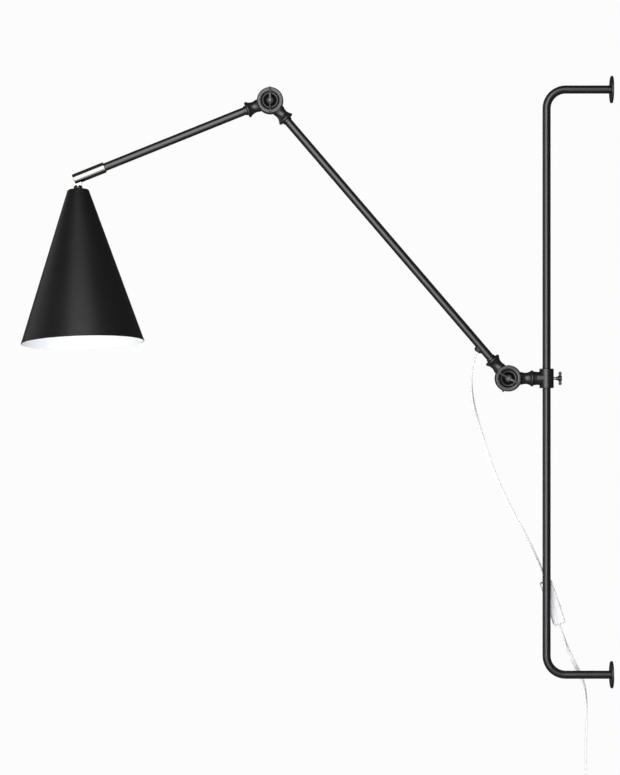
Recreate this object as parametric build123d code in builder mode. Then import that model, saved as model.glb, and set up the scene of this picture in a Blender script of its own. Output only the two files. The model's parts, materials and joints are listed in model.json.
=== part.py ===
"""Articulating wall lamp: a bent bar on two wall flanges, a collar that slides and swivels on it, two arms with
friction joints, a rolling and tilting head with a conical shade, and a clear cord with a switch and a plug.

Frame: the wall is the plane x = 0, the lamp stands out towards -X, Z is up and the arms lie in the plane y = 0.
The origin is on the wall, midway between the two flanges. Millimetres.
"""

from build123d import *
from math import atan2, cos, pi, radians, sin, tan
import os

os.makedirs("parts", exist_ok=True)

# ---------------------------------------------------------------- driving dimensions
TUBE_R = 6.0  # all tubes are 12 mm across
TUBE_WALL = 1.2

BAR_STANDOFF = 97.0  # wall to the bar's axis
BAR_HALF = 430.0  # origin to each wall arm of the bar
BAR_BEND_R = 28.0

FLANGE_R = 20.0
FLANGE_T = 3.0
FLANGE_EDGE_R = 1.2
FLANGE_SPIGOT = 8.0
FLANGE_HOLE_R = 2.15
FLANGE_SINK_R = 4.1
FLANGE_HOLE_OFFSET = 13.0

COLLAR_R = 10.5
COLLAR_HALF = 14.35
COLLAR_Z = 5.5
COLLAR_LIP = 1.5
BUSH_WALL = 1.95
BUSH_SLIT = 1.5

BASE_REACH = 56.6  # bar axis to the base joint
LOWER_LENGTH = 537.3  # joint to joint
LOWER_ANGLE = 49.4  # above the horizontal
UPPER_ANGLE = -21.9
UPPER_REACH = 304.7  # elbow to the head's tilt pin
HEAD_ROLL = 5.5  # sleeve turned about the upper arm, mouth towards the viewer
HEAD_LEAN = 2.3  # shade axis off the vertical, in the plane of the arms

RING_R = 19.3
HALF_T = 9.0  # thickness of one joint half
WASHER_T = 1.0
NECK_R = 9.45
WAIST_R = 8.4
BEAD_R = 12.0
BEAD_AT = 35.2  # joint centre to the middle of the bead
FERRULE_WALL = 1.05
FERRULE_L = 3.2

SLEEVE_WALL = 1.95
SLEEVE_IN = 42.7  # inner end, from the tilt pin back along the arm
SLEEVE_OUT = 6.3
STEM_R = 5.2
TONGUE_T = 5.0
PIN_R = 2.0

CAP_TOP = 12.3  # all head distances run from the tilt pin along the shade's axis
CAP_L = 4.9
CAP_R = 6.4
SHADE_TOP_R = 15.4
SHADE_MOUTH_R = 90.0
SHADE_LENGTH = 226.2
SHADE_WALL = 1.0
SHADE_SHOULDER_R = 4.0

NIPPLE_R = 5.0
NIPPLE_L = 17.6
HOLDER_R = 17.6
HOLDER_WALL = 1.6
HOLDER_CAP_L = 16.6
HOLDER_SKIRT_L = 36.0
BULB_THREAD_R = 13.2

CORD_R = 2.9
GLAND_AT = 61.6  # along the lower arm from the base joint
GLAND_R = 4.6
GLAND_PROUD = 9.8  # from the arm's axis to the gland's face
GLAND_ANGLE = 235.6  # direction it points, from +X towards +Z
CORD_EXIT_ANGLE = 250.0

SWITCH_CENTRE = Vector(-86.3, 20.0, -325.6)
SWITCH_LEAN = 18.35
SWITCH_L = 66.0
SWITCH_W = 25.0
SWITCH_T = 17.0
SWITCH_WALL = 1.8

HANK_X = -64.0  # middle of the hank
HANK_Y = 21.5  # its front layer
HANK_LAYER = 2 * CORD_R + 1.0  # front layer to back layer
HANK_TOP = -617.0  # top end of its runs
HANK_RUN = 90.0
HANK_OUTER = 27.5  # outermost run from the middle
HANK_STEP = 2 * CORD_R + 1.2  # run to run in one layer
HANK_DRAW = 9.0  # how far the tie draws each run in
HANK_TAIL = 38.0  # last run below the loops' ends, to the plug

PLUG_W = 35.0
PLUG_T = 13.6
PLUG_L = 33.0
PLUG_BOOT = 25.0
PLUG_SHOULDER = 14.0
PLUG_PIN_R = 2.0
PLUG_PIN_L = 19.0
PLUG_PIN_PITCH = 18.6

# clearances
SLIDE = 0.05  # running fit, on the radius
FREE = 0.2  # bolted and loose fits, on the radius
KNUCKLE_GAP = 0.6  # a neck to the other half's ring
PRESS = 0.02  # between pieces that are pressed together

# ---------------------------------------------------------------- sizes that follow
HALF_GAP = WASHER_T / 2
FACE_Y = HALF_GAP + HALF_T  # joint's mid-plane to each outer face
STUD_R = 2.95
RECESS_R = 8.4
RECESS_D = 4.5
GROOVE_IN = 12.0
GROOVE_OUT = 13.7
GROOVE_D = 1.5
LAND_PROUD = 0.8
NUT_AF = 10.0
NUT_T = 4.0
TUBE_BORE = TUBE_R - TUBE_WALL
SOCKET_FLOOR = 24.0
CABLE_BORE = CORD_R + FREE + 0.1
NECK_END = BEAD_AT + 2.2
BUSH_R = TUBE_R + SLIDE + BUSH_WALL
FERRULE_BORE = TUBE_R + SLIDE
FERRULE_R = FERRULE_BORE + FERRULE_WALL
SLEEVE_R = TUBE_R + SLIDE + SLEEVE_WALL
COLLAR_BORE = BUSH_R + SLIDE
LIP_R = TUBE_R + 0.3

# ---------------------------------------------------------------- frames


ACROSS = Vector(0, 1, 0)  # square to the plane of the arms


def in_plane(angle):
    """Unit vector in the plane of the arms, at an angle from +X towards +Z."""
    return Vector(cos(radians(angle)), 0, sin(radians(angle)))


def along_arm(origin, direction):
    """A frame whose axis runs along an arm and whose X lies in the plane of the arms, on the arm's underside."""
    return Plane(origin=origin, x_dir=direction.cross(ACROSS), z_dir=direction)


LOWER_DIR = in_plane(180 - LOWER_ANGLE)
UPPER_DIR = in_plane(180 - UPPER_ANGLE)

collar_centre = Vector(-BAR_STANDOFF, 0, COLLAR_Z)
base_centre = collar_centre - Vector(BASE_REACH, 0, 0)
elbow_centre = base_centre + LOWER_DIR * LOWER_LENGTH
tilt_centre = elbow_centre + UPPER_DIR * UPPER_REACH

COLLAR = Plane(origin=collar_centre, x_dir=(1, 0, 0), z_dir=(0, 0, 1))
CLAMP = Plane(origin=collar_centre, x_dir=(0, 0, 1), z_dir=(1, 0, 0))
STUB = Plane(origin=base_centre, x_dir=(0, 0, 1), z_dir=(1, 0, 0))
LOWER = along_arm(base_centre, LOWER_DIR)
LOWER_BACK = along_arm(elbow_centre, LOWER_DIR * -1)
UPPER = along_arm(elbow_centre, UPPER_DIR)
roll = radians(HEAD_ROLL)
SLEEVE = Plane(origin=tilt_centre, x_dir=ACROSS * cos(roll) + UPPER.x_dir * sin(roll), z_dir=UPPER_DIR)
PIN = Plane(origin=tilt_centre, x_dir=SLEEVE.z_dir, z_dir=SLEEVE.x_dir)
HEAD_SWING = UPPER_ANGLE + HEAD_LEAN  # from the sleeve's square to the shade's axis
HEAD_DIR = SLEEVE.y_dir * cos(radians(HEAD_SWING)) - SLEEVE.z_dir * sin(radians(HEAD_SWING))
HEAD = Plane(origin=tilt_centre, x_dir=SLEEVE.x_dir, z_dir=HEAD_DIR)


def section_of(frame):
    """The plane through a frame's axis: its X is the radius and its Y runs along the axis."""
    return Plane(origin=frame.origin, x_dir=frame.x_dir, z_dir=frame.x_dir.cross(frame.z_dir))


def outline(frame, *points):
    """A closed outline of (radius, distance along the axis) points in a frame's section."""
    with BuildSketch(section_of(frame)) as profile:
        with BuildLine():
            Polyline(*points, close=True)
        make_face()
    return profile.sketch


def turn(frame, *points, mode=Mode.ADD):
    """Turn an outline round a frame's axis."""
    revolve(outline(frame, *points), axis=Axis(frame.origin, frame.z_dir), mode=mode)


def rod(frame, radius, start, end, bore=0.0, mode=Mode.ADD):
    """A round bar, or a ring where it has a bore, between two distances along a frame's axis."""
    turn(frame, (bore, start), (radius, start), (radius, end), (bore, end), mode=mode)


def finish(piece, name):
    """Label a piece and write its file."""
    piece.part.label = name
    export_step(piece.part, f"parts/{name}.step")


# ---------------------------------------------------------------- wall bar
flange_face = -FLANGE_T

with BuildPart() as bar_tube:
    with BuildLine() as bar_line:
        FilletPolyline(
            (flange_face, 0, BAR_HALF),
            (-BAR_STANDOFF, 0, BAR_HALF),
            (-BAR_STANDOFF, 0, -BAR_HALF),
            (flange_face, 0, -BAR_HALF),
            radius=BAR_BEND_R,
        )
    with BuildSketch(Plane(origin=bar_line.line @ 0, z_dir=bar_line.line % 0)):
        Circle(TUBE_R)
        Circle(TUBE_BORE, mode=Mode.SUBTRACT)
    sweep()
finish(bar_tube, "bar_tube")

for side, name in ((1, "upper_wall_flange"), (-1, "lower_wall_flange")):
    FLANGE = Plane(origin=(0, 0, side * BAR_HALF), x_dir=(0, 1, 0), z_dir=(-1, 0, 0))
    with BuildPart() as wall_flange:
        rod(FLANGE, FLANGE_R, 0, FLANGE_T)
        fillet(wall_flange.edges().filter_by(GeomType.CIRCLE).sort_by(Axis.X)[0], FLANGE_EDGE_R)
        rod(FLANGE, TUBE_BORE - SLIDE, FLANGE_T, FLANGE_T + FLANGE_SPIGOT)
        with Locations(FLANGE.offset(FLANGE_T)):
            with Locations((-FLANGE_HOLE_OFFSET, 0), (FLANGE_HOLE_OFFSET, 0)):
                CounterSinkHole(FLANGE_HOLE_R, FLANGE_SINK_R, depth=2 * FLANGE_T)
    finish(wall_flange, name)

# ---------------------------------------------------------------- clamp on the bar
bush_half = COLLAR_HALF - COLLAR_LIP - SLIDE

with BuildPart() as slider_bush:
    rod(COLLAR, BUSH_R, -bush_half, bush_half, bore=TUBE_R + SLIDE)
    with BuildSketch(COLLAR.offset(-bush_half)):
        with Locations((0, BUSH_R)):
            Rectangle(BUSH_SLIT, 2 * BUSH_R)
    extrude(amount=2 * bush_half, mode=Mode.SUBTRACT)
finish(slider_bush, "slider_bush")

CLAMP_STUD_R = 2.0
CLAMP_NUB_AT = 13.7  # from the bar's axis
CLAMP_HEAD_AT = 17.0
CLAMP_HEAD_T = 5.2
CLAMP_WING_HALF = 10.0
STUB_R = 9.7
SPIGOT_R = 5.0
SPIGOT_L = 12.0
stub_face = BASE_REACH - NECK_END  # from the bar's axis, towards the base joint
bead_seat = NECK_END  # from the base joint, towards the bar

with BuildPart() as collar_body:
    rod(COLLAR, COLLAR_R, -COLLAR_HALF, COLLAR_HALF)
    chamfer(collar_body.edges().filter_by(GeomType.CIRCLE), 0.6)
    turn(
        STUB,
        (0, bead_seat),
        (STUB_R + 0.6, bead_seat),
        (STUB_R + 0.3, bead_seat + 2.2),
        (STUB_R, bead_seat + 4.0),
        (STUB_R, BASE_REACH),
        (0, BASE_REACH),
    )
    rod(STUB, SPIGOT_R, bead_seat - SPIGOT_L, bead_seat)
    rod(COLLAR, COLLAR_BORE, -COLLAR_HALF + COLLAR_LIP, COLLAR_HALF, mode=Mode.SUBTRACT)
    rod(COLLAR, LIP_R, -COLLAR_HALF, -COLLAR_HALF + COLLAR_LIP, mode=Mode.SUBTRACT)
    rod(CLAMP, CLAMP_STUD_R + FREE, 0, 2 * COLLAR_R, mode=Mode.SUBTRACT)
finish(collar_body, "collar_body")

with BuildPart() as bush_retaining_ring:
    rod(COLLAR, COLLAR_BORE - PRESS, COLLAR_HALF - COLLAR_LIP, COLLAR_HALF, bore=LIP_R)
finish(bush_retaining_ring, "bush_retaining_ring")

with BuildPart() as clamp_screw_stud:
    rod(CLAMP, CLAMP_STUD_R, BUSH_R + SLIDE, CLAMP_HEAD_AT + 2.5)
    chamfer(clamp_screw_stud.edges().filter_by(GeomType.CIRCLE).sort_by(Axis.X)[0], 0.4)
finish(clamp_screw_stud, "clamp_screw_stud")

with BuildPart() as clamp_screw_head:
    rod(CLAMP, CLAMP_STUD_R + 0.7, CLAMP_NUB_AT, CLAMP_HEAD_AT)
    rod(CLAMP, CLAMP_STUD_R + 2.2, CLAMP_HEAD_AT, CLAMP_HEAD_AT + CLAMP_HEAD_T)
    with BuildSketch(Plane.XZ.offset(-1.7)):
        for side in (1, -1):
            with Locations((-BAR_STANDOFF + CLAMP_HEAD_AT + 2.9, COLLAR_Z + side * 7.2)):
                Ellipse(2.3, CLAMP_WING_HALF - 7.2)
            with Locations((-BAR_STANDOFF + CLAMP_HEAD_AT + 2.9, COLLAR_Z + side * 4.0)):
                Rectangle(3.4, 5.0)
    extrude(amount=3.4)
    rod(CLAMP, CLAMP_STUD_R + PRESS, CLAMP_NUB_AT, CLAMP_HEAD_AT + 2.5, mode=Mode.SUBTRACT)
finish(clamp_screw_head, "clamp_screw_head")

# ---------------------------------------------------------------- friction joints


def knuckle(centre, neck, side, bore_from):
    """One half of a joint inside the open part: a ring to one side of the mid-plane, and a turned neck on it.

    neck is the frame along the neck, side is -1 for the front half and 1 for the rear one, and bore_from is where
    the neck's socket starts.
    """
    axis = Plane(origin=centre, x_dir=(1, 0, 0), z_dir=(0, side, 0))
    with BuildSketch(section_of(neck)) as turned:
        with BuildLine():
            inner = Line((0, 10.0), (NECK_R - 0.4, 10.0))
            flare = Line(inner @ 1, (NECK_R, RING_R + 0.6))
            waist = ThreePointArc(flare @ 1, (WAIST_R, 26.6), (BEAD_R - 0.9, BEAD_AT - 1.8))
            rim = ThreePointArc(waist @ 1, (BEAD_R, BEAD_AT), (BEAD_R - 0.9, BEAD_AT + 1.6))
            Polyline(rim @ 1, (WAIST_R + 0.9, NECK_END), (0, NECK_END), (0, 10.0))
        make_face()
    revolve(turned.sketch, axis=Axis(neck.origin, neck.z_dir))
    rod(axis, RING_R + KNUCKLE_GAP, -2 * RING_R, HALF_GAP, mode=Mode.SUBTRACT)
    rod(axis, RING_R, HALF_GAP, FACE_Y)
    turn(axis, (0, FACE_Y), (GROOVE_IN, FACE_Y), (GROOVE_IN - 0.8, FACE_Y + LAND_PROUD), (0, FACE_Y + LAND_PROUD))
    rod(axis, GROOVE_OUT, FACE_Y - GROOVE_D, FACE_Y, bore=GROOVE_IN, mode=Mode.SUBTRACT)
    turn(
        axis,
        (RING_R - 1.4, FACE_Y),
        (RING_R + 0.1, FACE_Y - 1.5),
        (RING_R + 0.1, FACE_Y + 0.1),
        (RING_R - 1.4, FACE_Y + 0.1),
        mode=Mode.SUBTRACT,
    )
    rod(axis, STUD_R + FREE, HALF_GAP - 1, FACE_Y, mode=Mode.SUBTRACT)
    rod(neck, TUBE_R + SLIDE, bore_from, NECK_END + 1, mode=Mode.SUBTRACT)


def front_recess(centre):
    """The well in a front half that the spring washer and the wing screw's hub sit in."""
    axis = Plane(origin=centre, x_dir=(1, 0, 0), z_dir=(0, -1, 0))
    rod(axis, RECESS_R, FACE_Y - RECESS_D, FACE_Y + 2 * LAND_PROUD, mode=Mode.SUBTRACT)


NUT_AT = 3.4  # mid-plane to the nut's inner face
CAP_AT = NUT_AT + NUT_T + 0.2


def rear_recess(centre):
    """The nut's six-sided pocket and the cap's seat in a rear half."""
    axis = Plane(origin=centre, x_dir=(1, 0, 0), z_dir=(0, 1, 0))
    with BuildSketch(axis.offset(NUT_AT)) as pocket:
        RegularPolygon(NUT_AF / 2 + FREE, 6, major_radius=False)
    extrude(pocket.sketch, amount=FACE_Y - NUT_AT, mode=Mode.SUBTRACT)
    rod(axis, RECESS_R, CAP_AT, FACE_Y + 2 * LAND_PROUD, mode=Mode.SUBTRACT)


def cable_way(neck):
    """The bore that the cable takes through a neck, from its socket to the ring."""
    rod(neck, CABLE_BORE, RING_R + KNUCKLE_GAP - 0.2, SOCKET_FLOOR + 0.5, mode=Mode.SUBTRACT)


with BuildPart() as base_rear_knuckle:
    knuckle(base_centre, STUB, 1, NECK_END)
    rod(STUB, SPIGOT_R + PRESS, bead_seat - SPIGOT_L - 0.5, bead_seat + 1, mode=Mode.SUBTRACT)
    rear_recess(base_centre)
finish(base_rear_knuckle, "base_rear_knuckle")

STOP_R = 1.4
STOP_ANGLE = 246.7  # where the stop screw stands on the ring, from +X towards +Z
STOP_DEPTH = 5.0
STOP_PROUD = 2.2
STOP = Plane(
    origin=base_centre + Vector(0, -FACE_Y + 3.8, 0),
    x_dir=(0, 1, 0),
    z_dir=in_plane(STOP_ANGLE),
)

with BuildPart() as base_front_knuckle:
    knuckle(base_centre, LOWER, -1, SOCKET_FLOOR)
    front_recess(base_centre)
    rod(STOP, STOP_R + PRESS, RING_R - STOP_DEPTH, RING_R + 1, mode=Mode.SUBTRACT)
finish(base_front_knuckle, "base_front_knuckle")

with BuildPart() as base_stop_screw:
    rod(STOP, STOP_R, RING_R - STOP_DEPTH, RING_R + STOP_PROUD)
    chamfer(base_stop_screw.edges().filter_by(GeomType.CIRCLE), 0.3)
finish(base_stop_screw, "base_stop_screw")

with BuildPart() as elbow_front_knuckle:
    knuckle(elbow_centre, LOWER_BACK, -1, SOCKET_FLOOR)
    front_recess(elbow_centre)
    cable_way(LOWER_BACK)
finish(elbow_front_knuckle, "elbow_front_knuckle")

with BuildPart() as elbow_rear_knuckle:
    knuckle(elbow_centre, UPPER, 1, SOCKET_FLOOR)
    rear_recess(elbow_centre)
    cable_way(UPPER)
finish(elbow_rear_knuckle, "elbow_rear_knuckle")

WASHER_R = 15.0
SPRING_T = 1.2
HUB_R = 5.0
HUB_L = 9.2
WING_HALF = 18.6
WING_T = 2.6
hub_seat = FACE_Y - RECESS_D + SPRING_T  # mid-plane to the hub's inner face
BASE_WING_ANGLE = -29.0
ELBOW_WING_ANGLE = 90.0

for joint, centre, wing_angle in (
    ("base", base_centre, BASE_WING_ANGLE),
    ("elbow", elbow_centre, ELBOW_WING_ANGLE),
):
    front = Plane(origin=centre, x_dir=in_plane(wing_angle), z_dir=(0, -1, 0))
    rear = Plane(origin=centre, x_dir=(1, 0, 0), z_dir=(0, 1, 0))

    with BuildPart() as friction_washer:
        rod(rear, WASHER_R, -HALF_GAP, HALF_GAP, bore=STUD_R + FREE)
    finish(friction_washer, f"{joint}_friction_washer")

    with BuildPart() as spring_washer:
        rod(front, HUB_R + 0.5, hub_seat - SPRING_T, hub_seat, bore=STUD_R + FREE)
    finish(spring_washer, f"{joint}_spring_washer")

    with BuildPart() as wing_screw:
        turn(
            front,
            (0, -CAP_AT + 0.4),
            (STUD_R, -CAP_AT + 0.4),
            (STUD_R, hub_seat),
            (HUB_R, hub_seat),
            (HUB_R, hub_seat + HUB_L - 4.2),
            (HUB_R - 0.5, hub_seat + HUB_L - 2.4),
            (HUB_R - 1.7, hub_seat + HUB_L - 0.8),
            (HUB_R - 3.2, hub_seat + HUB_L),
            (0, hub_seat + HUB_L),
        )
        for side in (1, -1):
            with BuildSketch(section_of(front).offset(-WING_T / 2)) as blade:
                with BuildLine():
                    lower_edge = ThreePointArc(
                        (side * 3.0, hub_seat + 4.9), (side * 11.0, hub_seat + 6.2), (side * 15.6, hub_seat + 10.4)
                    )
                    tip = ThreePointArc(
                        lower_edge @ 1, (side * WING_HALF, hub_seat + 14.6), (side * 16.0, hub_seat + 17.6)
                    )
                    ThreePointArc(tip @ 1, (side * 10.0, hub_seat + 12.0), (side * 3.0, hub_seat + 8.6))
                    Line((side * 3.0, hub_seat + 8.6), (side * 3.0, hub_seat + 4.9))
                make_face()
            extrude(blade.sketch, amount=WING_T)
    finish(wing_screw, f"{joint}_wing_screw")

    with BuildPart() as clamp_nut:
        with BuildSketch(rear.offset(NUT_AT)):
            RegularPolygon(NUT_AF / 2, 6, major_radius=False)
            Circle(STUD_R + SLIDE, mode=Mode.SUBTRACT)
        extrude(amount=NUT_T)
    finish(clamp_nut, f"{joint}_clamp_nut")

    with BuildPart() as rear_cap:
        turn(
            rear,
            (0, CAP_AT),
            (RECESS_R - PRESS, CAP_AT),
            (RECESS_R - PRESS, FACE_Y + LAND_PROUD),
            (RECESS_R - 2.4, FACE_Y + LAND_PROUD + 1.1),
            (0, FACE_Y + LAND_PROUD + 1.6),
        )
    finish(rear_cap, f"{joint}_rear_cap")

# ---------------------------------------------------------------- arms
GLAND = Plane(
    origin=base_centre + LOWER_DIR * GLAND_AT,
    x_dir=(0, 1, 0),
    z_dir=in_plane(GLAND_ANGLE),
)
gland_face = GLAND.origin + GLAND.z_dir * GLAND_PROUD
CORD_EXIT = Plane(origin=gland_face, x_dir=(0, 1, 0), z_dir=in_plane(CORD_EXIT_ANGLE))
GLAND_SPIGOT_R = 3.9
GLAND_FOOT_L = 12.4  # the foot's length along the arm
GLAND_FOOT_PROUD = 8.4

with BuildPart() as lower_arm_tube:
    rod(LOWER, TUBE_R, SOCKET_FLOOR, LOWER_LENGTH - SOCKET_FLOOR, bore=TUBE_BORE)
    rod(GLAND, GLAND_SPIGOT_R + SLIDE, 0, 2 * TUBE_R, mode=Mode.SUBTRACT)
finish(lower_arm_tube, "lower_arm_tube")

with BuildPart() as cord_gland:
    rod(GLAND, GLAND_R, 0, GLAND_PROUD)
    chamfer(cord_gland.edges().filter_by(GeomType.CIRCLE).sort_by(Axis.Z)[0], 0.5)
    with BuildSketch(GLAND):
        SlotOverall(GLAND_FOOT_L, 2 * GLAND_R, rotation=90)
    extrude(amount=GLAND_FOOT_PROUD)
    rod(LOWER, TUBE_R + SLIDE, 0, 2 * GLAND_AT, mode=Mode.SUBTRACT)
    rod(GLAND, GLAND_SPIGOT_R, TUBE_BORE - 0.4, TUBE_R + 1)
    rod(CORD_EXIT, CORD_R + FREE, -2 * GLAND_PROUD, GLAND_PROUD, mode=Mode.SUBTRACT)
finish(cord_gland, "cord_gland")

with BuildPart() as lower_arm_ferrules:
    for neck in (LOWER, LOWER_BACK):
        turn(
            neck,
            (FERRULE_BORE, NECK_END),
            (FERRULE_R, NECK_END),
            (FERRULE_R, NECK_END + FERRULE_L - 0.6),
            (FERRULE_R - 0.6, NECK_END + FERRULE_L),
            (FERRULE_BORE, NECK_END + FERRULE_L),
        )
finish(lower_arm_ferrules, "lower_arm_ferrules")

with BuildPart() as upper_arm_ferrule:
    turn(
        UPPER,
        (FERRULE_BORE, NECK_END),
        (FERRULE_R, NECK_END),
        (FERRULE_R, NECK_END + FERRULE_L - 0.6),
        (FERRULE_R - 0.6, NECK_END + FERRULE_L),
        (FERRULE_BORE, NECK_END + FERRULE_L),
    )
finish(upper_arm_ferrule, "upper_arm_ferrule")

CABLE_END = RING_R + KNUCKLE_GAP + 0.6  # inside the neck, from the elbow's centre
with BuildPart() as lower_arm_cable:
    rod(LOWER, CORD_R, GLAND_AT + 8.0, LOWER_LENGTH - CABLE_END)
finish(lower_arm_cable, "lower_arm_cable")

sleeve_start = UPPER_REACH - SLEEVE_IN
tube_end = sleeve_start + 24.0
socket_end = tube_end + 2.0
GRUB_AT = sleeve_start + 10.0
GRUB_R = 1.5
GRUB_GROOVE = 0.6

with BuildPart() as upper_arm_tube:
    rod(UPPER, TUBE_R, SOCKET_FLOOR, tube_end, bore=TUBE_BORE)
    rod(
        UPPER,
        TUBE_R + 1,
        GRUB_AT - GRUB_R - FREE,
        GRUB_AT + GRUB_R + FREE,
        bore=TUBE_R - GRUB_GROOVE,
        mode=Mode.SUBTRACT,
    )
finish(upper_arm_tube, "upper_arm_tube")

with BuildPart() as upper_arm_cable:
    rod(UPPER, CORD_R, CABLE_END, tube_end)
finish(upper_arm_cable, "upper_arm_cable")

# ---------------------------------------------------------------- head sleeve
SLOT_IN = 10.5  # slot's inner end, from the tilt pin back along the arm
SLOT_TOP = STEM_R + 0.3
GRUB = Plane(
    origin=elbow_centre + UPPER_DIR * GRUB_AT,
    x_dir=UPPER_DIR,
    z_dir=SLEEVE.x_dir,
)

with BuildPart() as head_sleeve:
    rod(SLEEVE, SLEEVE_R, -SLEEVE_IN, SLEEVE_OUT)
    chamfer(head_sleeve.edges().filter_by(GeomType.CIRCLE), 0.5)
    rod(SLEEVE, TUBE_R + SLIDE, -SLEEVE_IN, socket_end - UPPER_REACH, mode=Mode.SUBTRACT)
    rod(SLEEVE, 2.4, -SLEEVE_IN, 0, mode=Mode.SUBTRACT)
    with BuildSketch(PIN.offset(-(TONGUE_T / 2 + FREE))):
        with BuildLine():
            Polyline(
                (-SLOT_IN, SLOT_TOP),
                (SLEEVE_OUT + 1, SLOT_TOP),
                (SLEEVE_OUT + 1, -SLEEVE_R - 1),
                (-SLOT_IN, -SLEEVE_R - 1),
                close=True,
            )
        make_face()
    extrude(amount=TONGUE_T + 2 * FREE, mode=Mode.SUBTRACT)
    rod(PIN, PIN_R + PRESS, -SLEEVE_R, SLEEVE_R, mode=Mode.SUBTRACT)
    rod(GRUB, GRUB_R + PRESS, 0, SLEEVE_R + 1, mode=Mode.SUBTRACT)
finish(head_sleeve, "head_sleeve")

with BuildPart() as sleeve_grub_screw:
    rod(GRUB, GRUB_R, TUBE_R - GRUB_GROOVE + SLIDE, SLEEVE_R - 0.3)
finish(sleeve_grub_screw, "sleeve_grub_screw")

with BuildPart() as tilt_pin:
    rod(PIN, PIN_R, -(SLEEVE_R - 0.4), SLEEVE_R - 0.4)
finish(tilt_pin, "tilt_pin")

# ---------------------------------------------------------------- head
STEM_ROUND = 10.8
shade_top = CAP_TOP + CAP_L
nipple_end = CAP_TOP + NIPPLE_L
SHADE_HOLE = NIPPLE_R + 0.3
TONGUE = Plane(origin=tilt_centre, x_dir=HEAD.x_dir.cross(HEAD.z_dir), z_dir=HEAD.x_dir)

with BuildPart() as swivel_stem:
    with BuildSketch(TONGUE.offset(-TONGUE_T / 2)) as tongue:
        Circle(STEM_R)
        with Locations((0, -(STEM_ROUND + 1) / 2)):
            Rectangle(2 * STEM_R, STEM_ROUND + 1)
    extrude(tongue.sketch, amount=TONGUE_T)
    rod(HEAD, STEM_R, STEM_ROUND, CAP_TOP)
    rod(HEAD, NIPPLE_R, CAP_TOP, nipple_end)
    rod(HEAD, NIPPLE_R - 1.8, CAP_TOP + 1.5, nipple_end, mode=Mode.SUBTRACT)
    rod(PIN, PIN_R + SLIDE, -SLEEVE_R, SLEEVE_R, mode=Mode.SUBTRACT)
finish(swivel_stem, "swivel_stem")

with BuildPart() as shade_cap:
    turn(
        HEAD,
        (NIPPLE_R + FREE, CAP_TOP),
        (CAP_R - 0.5, CAP_TOP),
        (CAP_R, CAP_TOP + 0.5),
        (CAP_R + 0.1, shade_top - 1.7),
        (CAP_R + 0.7, shade_top - 0.6),
        (CAP_R + 2.0, shade_top),
        (NIPPLE_R + FREE, shade_top),
    )
finish(shade_cap, "shade_cap")

shade_mouth = shade_top + SHADE_LENGTH
shade_slope = atan2(SHADE_MOUTH_R - SHADE_TOP_R, SHADE_LENGTH)
wall_across = SHADE_WALL / cos(shade_slope)
inner_top_r = SHADE_TOP_R + SHADE_WALL * tan(shade_slope) - wall_across
with BuildPart() as shade:
    with BuildSketch(section_of(HEAD)) as shell:
        with BuildLine():
            FilletPolyline(
                (SHADE_HOLE, shade_top),
                (SHADE_TOP_R, shade_top),
                (SHADE_MOUTH_R, shade_mouth),
                radius=SHADE_SHOULDER_R,
            )
            Line((SHADE_MOUTH_R, shade_mouth), (SHADE_MOUTH_R - wall_across, shade_mouth))
            FilletPolyline(
                (SHADE_MOUTH_R - wall_across, shade_mouth),
                (inner_top_r, shade_top + SHADE_WALL),
                (SHADE_HOLE, shade_top + SHADE_WALL),
                radius=SHADE_SHOULDER_R - SHADE_WALL,
            )
            Line((SHADE_HOLE, shade_top + SHADE_WALL), (SHADE_HOLE, shade_top))
        make_face()
    revolve(shell.sketch, axis=Axis(HEAD.origin, HEAD.z_dir))
finish(shade, "shade")

LOCK_NUT_AF = 14.0
LOCK_NUT_T = 3.0
lock_nut_at = shade_top + SHADE_WALL
with BuildPart() as lock_nut:
    with BuildSketch(HEAD.offset(lock_nut_at)):
        RegularPolygon(LOCK_NUT_AF / 2, 6, major_radius=False)
        Circle(NIPPLE_R + SLIDE, mode=Mode.SUBTRACT)
    extrude(amount=LOCK_NUT_T)
finish(lock_nut, "lock_nut")

holder_top = lock_nut_at + LOCK_NUT_T + 0.1
cap_end = holder_top + HOLDER_CAP_L
skirt_end = cap_end + HOLDER_SKIRT_L
SKIRT_NECK = 4.6
skirt_bore = HOLDER_R - 2 * HOLDER_WALL + 0.2

with BuildPart() as holder_cap:
    turn(
        HEAD,
        (NIPPLE_R + SLIDE, holder_top),
        (10.0, holder_top),
        (13.4, holder_top + 3.4),
        (HOLDER_R, holder_top + 11.4),
        (HOLDER_R, cap_end),
        (HOLDER_R - HOLDER_WALL, cap_end),
        (HOLDER_R - HOLDER_WALL, holder_top + 12.0),
        (12.2, holder_top + 4.6),
        (9.2, holder_top + HOLDER_WALL),
        (NIPPLE_R + SLIDE, holder_top + HOLDER_WALL),
    )
finish(holder_cap, "holder_cap")

with BuildPart() as holder_skirt:
    turn(
        HEAD,
        (skirt_bore, cap_end - SKIRT_NECK),
        (HOLDER_R - HOLDER_WALL - SLIDE, cap_end - SKIRT_NECK),
        (HOLDER_R - HOLDER_WALL - SLIDE, cap_end),
        (HOLDER_R, cap_end),
        (HOLDER_R, skirt_end - 1.0),
        (HOLDER_R - 0.8, skirt_end),
        (skirt_bore, skirt_end),
    )
finish(holder_skirt, "holder_skirt")

insulator_end = cap_end + 8.0
with BuildPart() as holder_insulator:
    rod(HEAD, skirt_bore - SLIDE, cap_end - SKIRT_NECK, insulator_end)
finish(holder_insulator, "holder_insulator")

SHELL_WALL = 0.7
with BuildPart() as screw_shell:
    rod(HEAD, BULB_THREAD_R + SHELL_WALL, insulator_end, skirt_end - 2.0, bore=BULB_THREAD_R)
    rod(HEAD, BULB_THREAD_R + SHELL_WALL, insulator_end, insulator_end + SHELL_WALL, bore=8.0)
finish(screw_shell, "screw_shell")

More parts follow.
